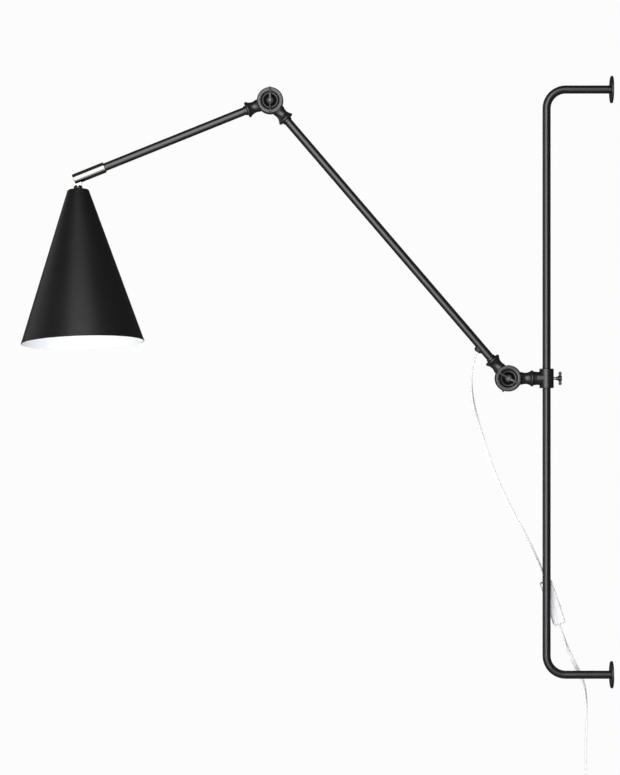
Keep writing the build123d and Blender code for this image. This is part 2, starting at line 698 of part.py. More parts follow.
CONTACT_T = SHELL_WALL + 0.1  # pressed down, as a bulb's foot leaves it
with BuildPart() as centre_contact:
    rod(HEAD, 3.4, insulator_end, insulator_end + CONTACT_T)
    chamfer(centre_contact.edges().filter_by(GeomType.CIRCLE).sort_by(Axis.Z)[0], 0.3)
finish(centre_contact, "centre_contact")

# ---------------------------------------------------------------- cord


def cord_path(points):
    """Straight runs joined by arcs as large as their runs allow, and the arcs' radii."""
    corners = [Vector(*p) for p in points]
    radii = []
    for before, corner, after in zip(corners, corners[1:], corners[2:]):
        arriving, leaving = corner - before, after - corner
        half_turn = radians(arriving.get_angle(leaving)) / 2
        radii.append(0.45 * min(arriving.length, leaving.length) / tan(half_turn))
    with BuildLine() as path:
        FilletPolyline(*corners, radius=radii)
    return path.wire(), radii


def cord_tube(path):
    """Sweep the cord's round section along a path, inside the open part."""
    with BuildSketch(Plane(origin=path @ 0, z_dir=path % 0)) as section:
        Circle(CORD_R)
    sweep(section.sketch, path=path)


switch_down = in_plane(-90 + SWITCH_LEAN)
SWITCH = Plane(origin=SWITCH_CENTRE, x_dir=(0, 1, 0), z_dir=switch_down)
PORT_DEPTH = 5.0
PORT_RUN = 20.0  # straight length of cord at each end of the switch
switch_top = SWITCH_CENTRE - switch_down * (SWITCH_L / 2 - PORT_DEPTH)
switch_bottom = SWITCH_CENTRE + switch_down * (SWITCH_L / 2 - PORT_DEPTH)
cord_start = gland_face - CORD_EXIT.z_dir * 1.5
last_hank_x = HANK_X + HANK_OUTER

upper_route = [
    tuple(cord_start),
    (-203.2, 0.2, 34.0),
    (-206.9, 1.0, 17.0),
    (-208.0, 2.4, -4.0),
    (-205.2, 4.6, -28.0),
    (-198.8, 7.4, -54.0),
    (-190.4, 10.4, -83.0),
    (-180.0, 13.4, -116.0),
    (-166.6, 16.2, -150.0),
    (-148.6, 18.2, -187.0),
    (-128.6, 19.2, -223.0),
    (-112.0, 19.7, -255.0),
    tuple(switch_top - switch_down * PORT_RUN),
    tuple(switch_top),
]
lower_route = [
    tuple(switch_bottom),
    tuple(switch_bottom + switch_down * PORT_RUN),
    (-66.6, 20.4, -388.0),
    (-57.6, 20.7, -408.5),
    (-46.8, 21.0, -429.0),
    (-39.2, 21.2, -448.5),
    (-36.3, 21.3, -471.0),
    (-35.9, 21.2, -503.0),
    (-36.9, 21.6, -537.0),
    (last_hank_x, HANK_Y, HANK_TOP + 40.0),
    (last_hank_x, HANK_Y, HANK_TOP),
]

print("cord diameter", 2 * CORD_R)
for name, route in (("cord_upper", upper_route), ("cord_lower", lower_route)):
    line, radii = cord_path(route)
    with BuildPart() as cord:
        cord_tube(line)
    print(name, "length", round(line.length, 1), "radii", [round(r) for r in radii])
    print(name, "volume over section times length", round(cord.part.volume / (pi * CORD_R**2 * line.length), 4))
    finish(cord, name)

# ---------------------------------------------------------------- hank of put-away cord
hank_bottom = HANK_TOP - HANK_RUN
HANK_TURNS = 7  # runs, each half a loop
half_step = HANK_STEP / 2


def run_place(index):
    """(distance of a run from the middle, its layer at the start, its layer at the end)."""
    folds = min(index, HANK_TURNS - 1 - index)
    layer = [0, 1] if index == HANK_TURNS // 2 else [int(index > HANK_TURNS // 2)] * 2
    return HANK_OUTER - half_step * folds, *layer


def hank_corners():
    """For each run: its start, its waist and its end, down on the right and up on the left."""
    for index in range(HANK_TURNS):
        out, first, last = run_place(index)
        down = index % 2 == 0
        side = 1 if down else -1
        z_start, z_end = (HANK_TOP, hank_bottom) if down else (hank_bottom, HANK_TOP)
        y_start, y_end = HANK_Y + HANK_LAYER * first, HANK_Y + HANK_LAYER * last
        yield (
            Vector(HANK_X + side * out, y_start, z_start),
            Vector(HANK_X + side * (out - HANK_DRAW), (y_start + y_end) / 2, (z_start + z_end) / 2),
            Vector(HANK_X + side * out, y_end, z_end),
        )


def bow(start, end, heading):
    """Two arcs from start to end that leave and arrive along a vertical heading."""
    middle = (start + end) * 0.5
    first = TangentArc(start, middle, tangent=heading)
    TangentArc(middle, end, tangent=first % 1)


with BuildLine() as hank_line:
    previous_end = None
    for index, (start, waist, end) in enumerate(hank_corners()):
        heading = Vector(0, 0, -1 if index % 2 == 0 else 1)
        if previous_end:
            fold = (previous_end + start) * 0.5 - heading * ((start - previous_end).length / 2)
            ThreePointArc(previous_end, fold, start)
        bow(start, waist, heading)
        bow(waist, end, heading)
        previous_end = end
    tail_end = previous_end - Vector(0, 0, HANK_TAIL)
    Line(previous_end, tail_end)

hank_wire = hank_line.wire()
with BuildPart() as cord_hank:
    cord_tube(hank_wire)
hank_length = hank_wire.length
print("cord_hank length", round(hank_length, 1))
print("cord_hank volume over section times length", round(cord_hank.part.volume / (pi * CORD_R**2 * hank_length), 4))

samples = [hank_wire.position_at(i / 600) for i in range(601)]
apart = 4 * CORD_R * 600 / hank_length  # samples that are near along the cord don't count
least = min(
    (samples[i] - samples[j]).length
    for i in range(601)
    for j in range(i + int(apart) + 1, 601)
)
print("cord_hank least gap to itself", round(least - 2 * CORD_R, 2))
finish(cord_hank, "cord_hank")

TIE_H = 10.0
TIE_WALL = 1.2
TIE_GAP = 0.5
tie_right = HANK_OUTER - HANK_DRAW + CORD_R + TIE_GAP
tie_left = tie_right - half_step
tie_depth = HANK_LAYER + 2 * (CORD_R + TIE_GAP)
TIE = Plane(
    origin=(HANK_X + (tie_right - tie_left) / 2, HANK_Y + HANK_LAYER / 2, (HANK_TOP + hank_bottom) / 2 - TIE_H / 2),
    x_dir=(1, 0, 0),
    z_dir=(0, 0, 1),
)
with BuildPart() as hank_tie:
    with BuildSketch(TIE):
        RectangleRounded(tie_right + tie_left + 2 * TIE_WALL, tie_depth + 2 * TIE_WALL, CORD_R + TIE_GAP + TIE_WALL)
        RectangleRounded(tie_right + tie_left, tie_depth, CORD_R + TIE_GAP, mode=Mode.SUBTRACT)
    extrude(amount=TIE_H)
finish(hank_tie, "hank_tie")

# ---------------------------------------------------------------- plug
PLUG = Plane(origin=tail_end, x_dir=(1, 0, 0), z_dir=(0, 0, -1))
BOOT_TOP_R = CORD_R + 1.2
BOOT_END_R = 6.0
plug_end = PLUG_BOOT + PLUG_L

with BuildPart() as plug_body:
    turn(PLUG, (0, 0), (BOOT_TOP_R, 0), (BOOT_END_R, PLUG_BOOT), (BOOT_END_R, PLUG_BOOT + 4), (0, PLUG_BOOT + 4))
    with BuildSketch(PLUG.offset(PLUG_BOOT)) as neck_end:
        RectangleRounded(PLUG_W * 0.62, PLUG_T * 0.9, PLUG_T * 0.35)
    with BuildSketch(PLUG.offset(PLUG_BOOT + PLUG_SHOULDER)) as shoulder:
        RectangleRounded(PLUG_W, PLUG_T, PLUG_T * 0.35)
    loft([neck_end.sketch, shoulder.sketch])
    with BuildSketch(PLUG.offset(PLUG_BOOT + PLUG_SHOULDER)):
        RectangleRounded(PLUG_W, PLUG_T, PLUG_T * 0.35)
    extrude(amount=PLUG_L - PLUG_SHOULDER)
    with BuildSketch(PLUG.offset(plug_end)):
        with Locations((-PLUG_PIN_PITCH / 2, 0), (PLUG_PIN_PITCH / 2, 0)):
            Circle(PLUG_PIN_R + PRESS)
    extrude(amount=-12, mode=Mode.SUBTRACT)
finish(plug_body, "plug_body")

with BuildPart() as plug_pins:
    for side in (1, -1):
        pin_frame = Plane(
            origin=PLUG.origin + PLUG.x_dir * (side * PLUG_PIN_PITCH / 2), x_dir=PLUG.x_dir, z_dir=PLUG.z_dir
        )
        turn(
            pin_frame,
            (0, plug_end - 12),
            (PLUG_PIN_R, plug_end - 12),
            (PLUG_PIN_R, plug_end + PLUG_PIN_L - 1.2),
            (PLUG_PIN_R - 1.2, plug_end + PLUG_PIN_L),
            (0, plug_end + PLUG_PIN_L),
        )
finish(plug_pins, "plug_pins")

# ---------------------------------------------------------------- switch
CLAMP_BLOCK = 12.0  # solid end of the case that grips the cord
ROCKER_L = 19.0
ROCKER_W = 9.0
ROCKER_R = 10.6
ROCKER_PROUD = 1.6
ROCKER_SWEEP = 0.9  # room at each end for the rocker to tip
ROCKER_DEPTH = 4.6  # case's face to the rocker's axis
TRUNNION_R = 1.2
TRUNNION_L = 2.0
EAR_HALF = 2.6  # half width of the cover's ears that carry the rocker
CASE_SPLIT = 0.05
half_t = SWITCH_T / 2
thick_dir = SWITCH.z_dir.cross(SWITCH.x_dir)  # towards the side that carries the rocker
FACE = Plane(origin=SWITCH_CENTRE, x_dir=SWITCH.z_dir, z_dir=thick_dir)
ROCKER = Plane(origin=SWITCH_CENTRE + thick_dir * (half_t - ROCKER_DEPTH), x_dir=SWITCH.z_dir, z_dir=(0, 1, 0))
cavity_l = SWITCH_L - 2 * CLAMP_BLOCK
cavity_w = SWITCH_W - 2 * SWITCH_WALL
CASE_SCREW_AT = SWITCH_L / 2 - 7.0
CASE_SCREW_Y = 7.4


def case_half(side):
    """One shell of the switch, open towards the split, inside the open part."""
    with BuildSketch(FACE.offset(side * CASE_SPLIT)) as outer:
        RectangleRounded(SWITCH_L, SWITCH_W, 4.0)
    extrude(outer.sketch, amount=side * (half_t - CASE_SPLIT))
    return outer


with BuildPart() as switch_cover:
    case_half(1)
    chamfer(switch_cover.faces().sort_by(Axis(FACE.origin, FACE.z_dir))[-1].edges(), 1.2)
    with BuildSketch(FACE) as cavity:
        RectangleRounded(cavity_l, cavity_w, 2.0)
    extrude(cavity.sketch, amount=half_t - SWITCH_WALL, mode=Mode.SUBTRACT)
    with BuildSketch(FACE) as window:
        Rectangle(ROCKER_L + 2 * (FREE + ROCKER_SWEEP), ROCKER_W + 2 * FREE)
    extrude(window.sketch, amount=2 * half_t, mode=Mode.SUBTRACT)
    rod(SWITCH, CORD_R + FREE, -SWITCH_L, SWITCH_L, mode=Mode.SUBTRACT)
    ear_in = ROCKER_W / 2 + FREE
    for side in (1, -1):
        with BuildSketch(ROCKER.offset(side * ear_in)) as ear:
            with Locations((0, (EAR_HALF - ROCKER_DEPTH + SWITCH_WALL) / 2)):
                Rectangle(2 * EAR_HALF, EAR_HALF + ROCKER_DEPTH - SWITCH_WALL)
        extrude(ear.sketch, amount=side * TRUNNION_L)
    rod(ROCKER, TRUNNION_R + SLIDE, -ear_in - TRUNNION_L, ear_in + TRUNNION_L, mode=Mode.SUBTRACT)
finish(switch_cover, "switch_cover")

with BuildPart() as switch_base:
    case_half(-1)
    chamfer(switch_base.faces().sort_by(Axis(FACE.origin, FACE.z_dir))[0].edges(), 1.2)
    extrude(cavity.sketch, amount=-(half_t - SWITCH_WALL), mode=Mode.SUBTRACT)
    rod(SWITCH, CORD_R + FREE, -SWITCH_L, SWITCH_L, mode=Mode.SUBTRACT)
    for along, across in ((CASE_SCREW_AT, CASE_SCREW_Y), (-CASE_SCREW_AT, -CASE_SCREW_Y)):
        screw_axis = Plane(origin=FACE.from_local_coords(Vector(along, across, 0)), z_dir=FACE.z_dir * -1)
        rod(screw_axis, 1.3, 0, half_t - 2.0, mode=Mode.SUBTRACT)
        rod(screw_axis, 2.5, half_t - 2.0, half_t + 1, mode=Mode.SUBTRACT)
finish(switch_base, "switch_base")

with BuildPart() as switch_screws:
    for along, across in ((CASE_SCREW_AT, CASE_SCREW_Y), (-CASE_SCREW_AT, -CASE_SCREW_Y)):
        screw_axis = Plane(origin=FACE.from_local_coords(Vector(along, across, 0)), z_dir=FACE.z_dir * -1)
        rod(screw_axis, 1.25, 0.2, half_t - 2.0)
        rod(screw_axis, 2.35, half_t - 2.0, half_t - 0.5)
finish(switch_screws, "switch_screws")

with BuildPart() as switch_contacts:
    for side in (1, -1):
        with BuildSketch(FACE.offset(-(half_t - SWITCH_WALL))):
            with Locations((0, side * 6.4)):
                Rectangle(cavity_l - 4, 3.2)
        extrude(amount=0.8)
        with BuildSketch(FACE.offset(-(half_t - SWITCH_WALL))):
            with Locations((side * 12.0, side * 6.4)):
                Rectangle(6.0, 4.6)
        extrude(amount=5.0)
finish(switch_contacts, "switch_contacts")

with BuildPart() as switch_rocker:
    with BuildSketch(ROCKER.offset(-ROCKER_W / 2)) as rocker_side:
        with BuildLine():
            crown = ThreePointArc(
                (-ROCKER_L / 2, -4.4), (0, -(4.6 + ROCKER_PROUD - 1.2)), (ROCKER_L / 2, -(4.6 + ROCKER_PROUD))
            )
            Polyline(crown @ 1, (ROCKER_L / 2 - 2.4, 1.0), (-ROCKER_L / 2 + 2.4, 1.0), crown @ 0)
        make_face()
    extrude(rocker_side.sketch, amount=ROCKER_W)
    rod(ROCKER, TRUNNION_R, -(ROCKER_W / 2 + TRUNNION_L), ROCKER_W / 2 + TRUNNION_L)
finish(switch_rocker, "switch_rocker")

total = sum(cord_path(route)[0].length for route in (upper_route, lower_route)) + hank_length
print("cord from gland to plug", round(total), "mm")
print("base joint", base_centre, "elbow", elbow_centre, "tilt pin", tilt_centre)
print("upper arm", UPPER_DIR, "pin axis", PIN.z_dir, "shade axis", HEAD.z_dir)
print("switch", SWITCH_CENTRE, "down", switch_down, "thick", thick_dir, "rocker axis", ROCKER.origin)
print("cord exit", gland_face, "tail end", tail_end)
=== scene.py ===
"""Looks for the articulating wall lamp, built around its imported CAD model.

The lamp's frame: the wall is the plane x = 0 and the lamp stands out towards -X, +Z is up and the arms lie in
the plane y = 0. Sizes are millimetres unless a name or comment says otherwise. Finished meshes are in metres,
and so are a finish's bump depths, SUBSURFACE_REACH and the distance that castings are welded at.
"""

import json
import logging
import math
from dataclasses import dataclass
from enum import Enum

import bmesh
import bpy
from mathutils import Matrix, Vector

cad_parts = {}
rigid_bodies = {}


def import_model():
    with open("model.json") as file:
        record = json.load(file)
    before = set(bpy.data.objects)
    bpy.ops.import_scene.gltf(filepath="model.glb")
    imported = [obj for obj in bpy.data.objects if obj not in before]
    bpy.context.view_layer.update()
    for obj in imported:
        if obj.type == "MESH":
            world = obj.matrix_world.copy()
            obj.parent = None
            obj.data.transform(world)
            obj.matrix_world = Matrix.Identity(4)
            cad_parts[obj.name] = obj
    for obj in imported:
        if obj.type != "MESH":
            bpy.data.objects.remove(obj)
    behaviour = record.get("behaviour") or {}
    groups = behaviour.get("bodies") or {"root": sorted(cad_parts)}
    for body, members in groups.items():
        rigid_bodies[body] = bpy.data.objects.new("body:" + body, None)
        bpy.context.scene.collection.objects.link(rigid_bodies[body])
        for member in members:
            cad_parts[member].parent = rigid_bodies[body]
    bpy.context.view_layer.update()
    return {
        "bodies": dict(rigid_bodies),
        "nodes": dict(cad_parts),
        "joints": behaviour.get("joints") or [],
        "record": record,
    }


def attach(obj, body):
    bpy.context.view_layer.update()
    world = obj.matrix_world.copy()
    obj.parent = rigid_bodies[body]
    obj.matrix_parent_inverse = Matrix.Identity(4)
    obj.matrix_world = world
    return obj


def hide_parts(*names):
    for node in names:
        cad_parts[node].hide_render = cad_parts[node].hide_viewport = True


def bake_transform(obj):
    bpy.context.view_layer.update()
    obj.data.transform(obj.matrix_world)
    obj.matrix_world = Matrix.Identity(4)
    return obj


log = logging.getLogger("wall_lamp")

MM = 0.001
Point = tuple[float, float, float]
Outline = list[tuple[float, float]]


def metres(*values: float) -> Vector:
    """A point in millimetres, given in metres."""
    return Vector(values) * MM


def unit(degrees: float) -> Vector:
    """The unit vector in the plane of the arms at an angle from +X towards +Z."""
    angle = math.radians(degrees)
    return Vector((math.cos(angle), 0.0, math.sin(angle)))


@dataclass(frozen=True)
class Seat:
    """Where a piece is built: a point in millimetres, the way its own Z runs and the way its own X faces."""

    point: Vector
    along: Vector
    facing: Vector

    def matrix(self) -> Matrix:
        """The matrix from the piece's millimetres to the lamp's metres.

        Returns:
            A 4x4 matrix whose columns are the seat's three directions and its point.
        """
        z = self.along.normalized()
        x = (self.facing - z * self.facing.dot(z)).normalized()
        y = z.cross(x)
        turn = Matrix((x, y, z)).transposed().to_4x4()
        return Matrix.Translation(self.point * MM) @ turn @ Matrix.Scale(MM, 4)


# ------------------------------------------------------------------ the lamp's main places
ACROSS = Vector((0.0, 1.0, 0.0))
BASE_CENTRE = Vector((-153.6, 0.0, 5.5))
LOWER_ALONG = unit(130.6)
UPPER_ALONG = unit(201.9)
ELBOW_CENTRE = BASE_CENTRE + LOWER_ALONG * 537.3
TILT_CENTRE = ELBOW_CENTRE + UPPER_ALONG * 304.7
HEAD_ALONG = Vector((0.0385141, -0.0902922, -0.9951703))
PIN_ALONG = Vector((0.0357493, 0.9953962, -0.0889292))
SWITCH_CENTRE = Vector((-86.3, 20.0, -325.6))
SWITCH_ALONG = unit(-71.65)
GLAND_MOUTH: Point = (-199.224, 0.0, 44.185)
GLAND_ALONG = unit(250.0)
TAIL_END = Vector((-36.5, 28.3, -745.0))

HEAD = Seat(TILT_CENTRE, HEAD_ALONG, PIN_ALONG)
SLEEVE = Seat(TILT_CENTRE, UPPER_ALONG, PIN_ALONG)
SWITCH = Seat(SWITCH_CENTRE, SWITCH_ALONG, ACROSS)


class Body(str, Enum):
    """The CAD bodies that pieces ride on."""

    COLLAR = "collar"
    LOWER_ARM = "lower_arm"
    HEAD = "head"


# ------------------------------------------------------------------ finishes
PAINT_DRIFT_SCALE = 23.0
METAL_DRIFT_SCALE = 60.0
METAL_TONE_SWING = 0.12
RING_UNEVENNESS = 30.0
COAT_ROUGHNESS = 0.15
SUBSURFACE_REACH = 0.002


class NodeBench:
    """Builds the nodes of one material or group, so that a recipe reads as a list of steps."""

    def __init__(self, tree: bpy.types.NodeTree) -> None:
        """Keep the tree to work on."""
        self.tree = tree

    def node(
        self, kind: str, inputs: dict[str | int, object] | None = None, **settings: object
    ) -> bpy.types.Node:
        """Add a node.

        Args:
            kind: the node's type name.
            inputs: socket name or number to a value, or to another node's output socket.
            settings: properties of the node itself.

        Returns:
            The new node.
        """
        made = self.tree.nodes.new(kind)
        for name, value in settings.items():
            setattr(made, name, value)
        for name, value in (inputs or {}).items():
            if isinstance(value, bpy.types.NodeSocket):
                self.tree.links.new(value, made.inputs[name])
            else:
                made.inputs[name].default_value = value
        return made

    def maths(self, operation: str, first: object, second: object = 0.0) -> bpy.types.NodeSocket:
        """A Math node's result for two values or sockets."""
        return self.node("ShaderNodeMath", {0: first, 1: second}, operation=operation).outputs[0]

    def group_io(self, inputs: dict[str, tuple[str, object]], outputs: dict[str, str]) -> bpy.types.Node:
        """Name a group's sockets.

        Args:
            inputs: socket name to its type and its default.
            outputs: socket name to its type.

        Returns:
            The group's input node.
        """
        for name, (kind, default) in inputs.items():
            socket = self.tree.interface.new_socket(name, in_out="INPUT", socket_type=kind)
            if default is not None:
                socket.default_value = default
        for name, kind in outputs.items():
            self.tree.interface.new_socket(name, in_out="OUTPUT", socket_type=kind)
        return self.tree.nodes.new("NodeGroupInput")


def new_group(name: str) -> tuple[bpy.types.NodeTree, NodeBench]:
    """An empty shader node group and a bench for it."""
    tree = bpy.data.node_groups.new(name, "ShaderNodeTree")
    return tree, NodeBench(tree)


def surface_grain() -> bpy.types.NodeTree:
    """The group for sprayed paint and moulded plastic: fine pimples, and slow drifts of tone and gloss.

    Returns:
        A group with Vector, Colour, Roughness, Scale, Mottle and Drift in, and Colour, Roughness and Height
        out.
    """
    found = bpy.data.node_groups.get("surface_grain")
    if found:
        return found
    tree, bench = new_group("surface_grain")
    given = bench.group_io(
        {
            "Vector": ("NodeSocketVector", None),
            "Colour": ("NodeSocketColor", (0.5, 0.5, 0.5, 1.0)),
            "Roughness": ("NodeSocketFloat", 0.5),
            "Scale": ("NodeSocketFloat", 1500.0),
            "Mottle": ("NodeSocketFloat", 0.1),
            "Drift": ("NodeSocketFloat", 0.05),
        },
        {"Colour": "NodeSocketColor", "Roughness": "NodeSocketFloat", "Height": "NodeSocketFloat"},
    ).outputs
    fine = bench.node(
        "ShaderNodeTexNoise", {"Vector": given["Vector"], "Scale": given["Scale"], "Detail": 2.0}
    )
    slow = bench.node(
        "ShaderNodeTexNoise", {"Vector": given["Vector"], "Scale": PAINT_DRIFT_SCALE, "Detail": 3.0}
    )
    swing = bench.maths("SUBTRACT", slow.outputs["Fac"], 0.5)
    reach = bench.maths("MULTIPLY", given["Mottle"], 2.0)
    light = bench.maths("ADD", bench.maths("MULTIPLY", swing, reach), 1.0)
    tone = bench.node("ShaderNodeHueSaturation", {"Color": given["Colour"], "Value": light})
    gloss = bench.maths("ADD", given["Roughness"], bench.maths("MULTIPLY", swing, given["Drift"]))
    bench.node(
        "NodeGroupOutput",
        {"Colour": tone.outputs["Color"], "Roughness": gloss, "Height": fine.outputs["Fac"]},
    )
    return tree


def lathe_lines() -> bpy.types.NodeTree:
    """The group for turned and polished metal: fine rings about the Z of the vector that it is given.

    Returns:
        A group with Vector, Colour, Roughness, Lines and Drift in, and Colour, Roughness and Height out.
    """
    found = bpy.data.node_groups.get("lathe_lines")
    if found:
        return found
    tree, bench = new_group("lathe_lines")
    given = bench.group_io(
        {
            "Vector": ("NodeSocketVector", None),
            "Colour": ("NodeSocketColor", (0.8, 0.8, 0.8, 1.0)),
            "Roughness": ("NodeSocketFloat", 0.2),
            "Lines": ("NodeSocketFloat", 3000.0),
            "Drift": ("NodeSocketFloat", 0.05),
        },
        {"Colour": "NodeSocketColor", "Roughness": "NodeSocketFloat", "Height": "NodeSocketFloat"},
    ).outputs
    split = bench.node("ShaderNodeSeparateXYZ", {"Vector": given["Vector"]})
    rings = bench.node(
        "ShaderNodeCombineXYZ",
        {
            "X": bench.maths("MULTIPLY", split.outputs["X"], RING_UNEVENNESS),
            "Y": bench.maths("MULTIPLY", split.outputs["Y"], RING_UNEVENNESS),
            "Z": bench.maths("MULTIPLY", split.outputs["Z"], given["Lines"]),
        },
    )
    fine = bench.node("ShaderNodeTexNoise", {"Vector": rings.outputs["Vector"], "Scale": 1.0, "Detail": 2.0})
    slow = bench.node(
        "ShaderNodeTexNoise", {"Vector": given["Vector"], "Scale": METAL_DRIFT_SCALE, "Detail": 2.0}
    )
    swing = bench.maths("SUBTRACT", slow.outputs["Fac"], 0.5)
    light = bench.maths("ADD", bench.maths("MULTIPLY", swing, METAL_TONE_SWING), 1.0)
    tone = bench.node("ShaderNodeHueSaturation", {"Color": given["Colour"], "Value": light})
    wobble = bench.maths("ADD", swing, bench.maths("SUBTRACT", fine.outputs["Fac"], 0.5))
    gloss = bench.maths("ADD", given["Roughness"], bench.maths("MULTIPLY", wobble, given["Drift"]))
    bench.node(
        "NodeGroupOutput",
        {"Colour": tone.outputs["Color"], "Roughness": gloss, "Height": fine.outputs["Fac"]},
    )
    return tree


def blank_material(name: str) -> tuple[bpy.types.Material, NodeBench, bpy.types.Node]:
    """A material with nothing but its Principled BSDF.

    Args:
        name: the material's name.

    Returns:
        The material, a bench for its nodes and the Principled BSDF.
    """
    material = bpy.data.materials.new(name)
    material.use_nodes = True
    material.node_tree.nodes.clear()
    bench = NodeBench(material.node_tree)
    shader = bench.node("ShaderNodeBsdfPrincipled")
    bench.node("ShaderNodeOutputMaterial", {"Surface": shader.outputs["BSDF"]})
    return material, bench, shader


def rgba(colour: Point) -> tuple[float, float, float, float]:
    """A colour with full alpha."""
    return (*colour, 1.0)


def textured(
    bench: NodeBench,
    shader: bpy.types.Node,
    group: bpy.types.NodeTree,
    place: bpy.types.NodeSocket,
    settings: dict[str, object],
    depth: float,
) -> bpy.types.NodeSocket:
    """Give a shader the roughness and the bump of a finish group.

    Args:
        bench: the material's bench.
        shader: its Principled BSDF.
        group: the finish group.
        place: the vector that the group's texture is laid out on.
        settings: the group's other inputs.
        depth: how high the bump stands, in metres.

    Returns:
        The group's colour.
    """
    texture = bench.node("ShaderNodeGroup", node_tree=group)
    bench.tree.links.new(place, texture.inputs["Vector"])
    for socket, value in settings.items():
        texture.inputs[socket].default_value = value
    bump = bench.node(
        "ShaderNodeBump", {"Height": texture.outputs["Height"], "Distance": depth, "Strength": 1.0}
    )
    bench.tree.links.new(texture.outputs["Roughness"], shader.inputs["Roughness"])
    bench.tree.links.new(bump.outputs["Normal"], shader.inputs["Normal"])
    return texture.outputs["Colour"]


@dataclass(frozen=True)
class Coating:
    """Sprayed paint or moulded plastic."""

    name: str
    colour: Point
    roughness: float
    specular: float = 0.5
    scale: float = 1500.0
    depth: float = 0.00004
    mottle: float = 0.12
    drift: float = 0.08
    coat: float = 0.0
    subsurface: float = 0.0

    def material(self) -> bpy.types.Material:
        """The finish as a material.

        Returns:
            The material, made once.
        """
        found = bpy.data.materials.get(self.name)
        if found:
            return found
        material, bench, shader = blank_material(self.name)
        place = bench.node("ShaderNodeTexCoord").outputs["Object"]
        settings = {
            "Colour": rgba(self.colour),
            "Roughness": self.roughness,
            "Scale": self.scale,
            "Mottle": self.mottle,
            "Drift": self.drift,
        }
        colour = textured(bench, shader, surface_grain(), place, settings, self.depth)
        bench.tree.links.new(colour, shader.inputs["Base Color"])
        shader.inputs["Specular IOR Level"].default_value = self.specular
        shader.inputs["Coat Weight"].default_value = self.coat
        shader.inputs["Coat Roughness"].default_value = COAT_ROUGHNESS
        shader.inputs["Subsurface Weight"].default_value = self.subsurface
        shader.inputs["Subsurface Scale"].default_value = SUBSURFACE_REACH
        return material


@dataclass(frozen=True)
class TurnedMetal:
    """Bare or plated metal with fine turning rings about one axis of its seat."""

    name: str
    colour: Point
    roughness: float
    seat: Seat
    lines: float = 3000.0
    depth: float = 0.000006
    drift: float = 0.08

    def material(self) -> bpy.types.Material:
        """The finish as a material.

        Returns:
            The material, made once.
        """
        found = bpy.data.materials.get(self.name)
        if found:
            return found
        material, bench, shader = blank_material(self.name)
        place = bench.node("ShaderNodeTexCoord").outputs["Object"]
        centre = bench.node(
            "ShaderNodeVectorMath", {0: place, 1: self.seat.point * MM}, operation="SUBTRACT"
        ).outputs["Vector"]
        turn = self.seat.matrix().to_3x3().normalized().inverted().to_euler()
        local = bench.node("ShaderNodeMapping", {"Vector": centre, "Rotation": turn}).outputs["Vector"]
        settings = {
            "Colour": rgba(self.colour),
            "Roughness": self.roughness,
            "Lines": self.lines,
            "Drift": self.drift,
        }
        colour = textured(bench, shader, lathe_lines(), local, settings, self.depth)
        bench.tree.links.new(colour, shader.inputs["Base Color"])
        shader.inputs["Metallic"].default_value = 1.0
        return material


@dataclass(frozen=True)
class ClearMoulding:
    """Pale plastic that lets a little light through, with painted shade towards its outline and slight flow
    marks.
    """

    name: str
    colour: Point
    outline_shade: Point
    roughness: float
    transmission: float
    scale: float = 180.0
    depth: float = 0.0001
    ior: float = 1.46
    falloff: float = 3.0
    mottle: float = 0.03
    drift: float = 0.06

    def material(self) -> bpy.types.Material:
        """The finish as a material.

        Returns:
            The material, made once.
        """
        found = bpy.data.materials.get(self.name)
        if found:
            return found
        material, bench, shader = blank_material(self.name)
        place = bench.node("ShaderNodeTexCoord").outputs["Object"]
        settings = {
            "Colour": rgba(self.colour),
            "Roughness": self.roughness,
            "Scale": self.scale,
            "Mottle": self.mottle,
            "Drift": self.drift,
        }
        colour = textured(bench, shader, surface_grain(), place, settings, self.depth)
        # Painted shade: the colour darkens towards the outline as the surface turns away from the view.
        slant = bench.node("ShaderNodeLayerWeight", {"Blend": 0.5}).outputs["Facing"]
        outline = bench.maths("POWER", slant, self.falloff)
        outline_shaded_colour = bench.node(
            "ShaderNodeMix", {0: outline, 6: colour, 7: rgba(self.outline_shade)}, data_type="RGBA"
        ).outputs[2]
        bench.tree.links.new(outline_shaded_colour, shader.inputs["Base Color"])
        shader.inputs["Transmission Weight"].default_value = self.transmission
        shader.inputs["IOR"].default_value = self.ior
        return material


SATIN_BLACK = Coating(
    "satin_black", (0.009, 0.0088, 0.0098), 0.31, specular=1.0, scale=1400.0, depth=0.000006
)
CAST_BLACK = Coating("cast_black", (0.011, 0.0108, 0.0122), 0.34, specular=1.0, scale=900.0, depth=0.000012)
# The joints' recess floors keep the casting's roughness, and are darker and less glossy than CAST_BLACK as
# painted shade.
CAST_ROUGH_SHADED = Coating(
    "cast_black_rough_shaded", (0.006, 0.006, 0.0065), 0.85, specular=0.3, scale=1600.0, depth=0.00005
)
# Painted light: a lighter copy of the black paint, so that the wing screws' blades read as lit.
WING_BLACK_LIT = Coating(
    "wing_screw_black_lightened", (0.075, 0.074, 0.08), 0.27, specular=1.0, scale=1200.0, depth=0.000008
)
SHADE_BLACK = Coating(
    "shade_black_outside", (0.0088, 0.0086, 0.0086), 0.37, specular=0.58, scale=1800.0, depth=0.00001
)
SHADE_WHITE = Coating("shade_white_inside", (0.9, 0.92, 0.945), 0.45, specular=0.5, mottle=0.02)
BLACKED_STEEL = Coating("blacked_steel", (0.014, 0.014, 0.015), 0.6, specular=0.4, scale=2000.0)
BLACK_PLASTIC = Coating("black_moulding", (0.015, 0.015, 0.016), 0.42, scale=700.0)
HOLDER_BLACK = Coating("holder_moulding", (0.013, 0.013, 0.013), 0.3, scale=500.0, coat=0.2)
WHITE_PLASTIC = Coating("white_moulding", (0.82, 0.82, 0.8), 0.32, scale=900.0, mottle=0.02, subsurface=0.1)
FIBRE = Coating("vulcanised_fibre", (0.17, 0.06, 0.035), 0.7, scale=2600.0, depth=0.00008, mottle=0.35)
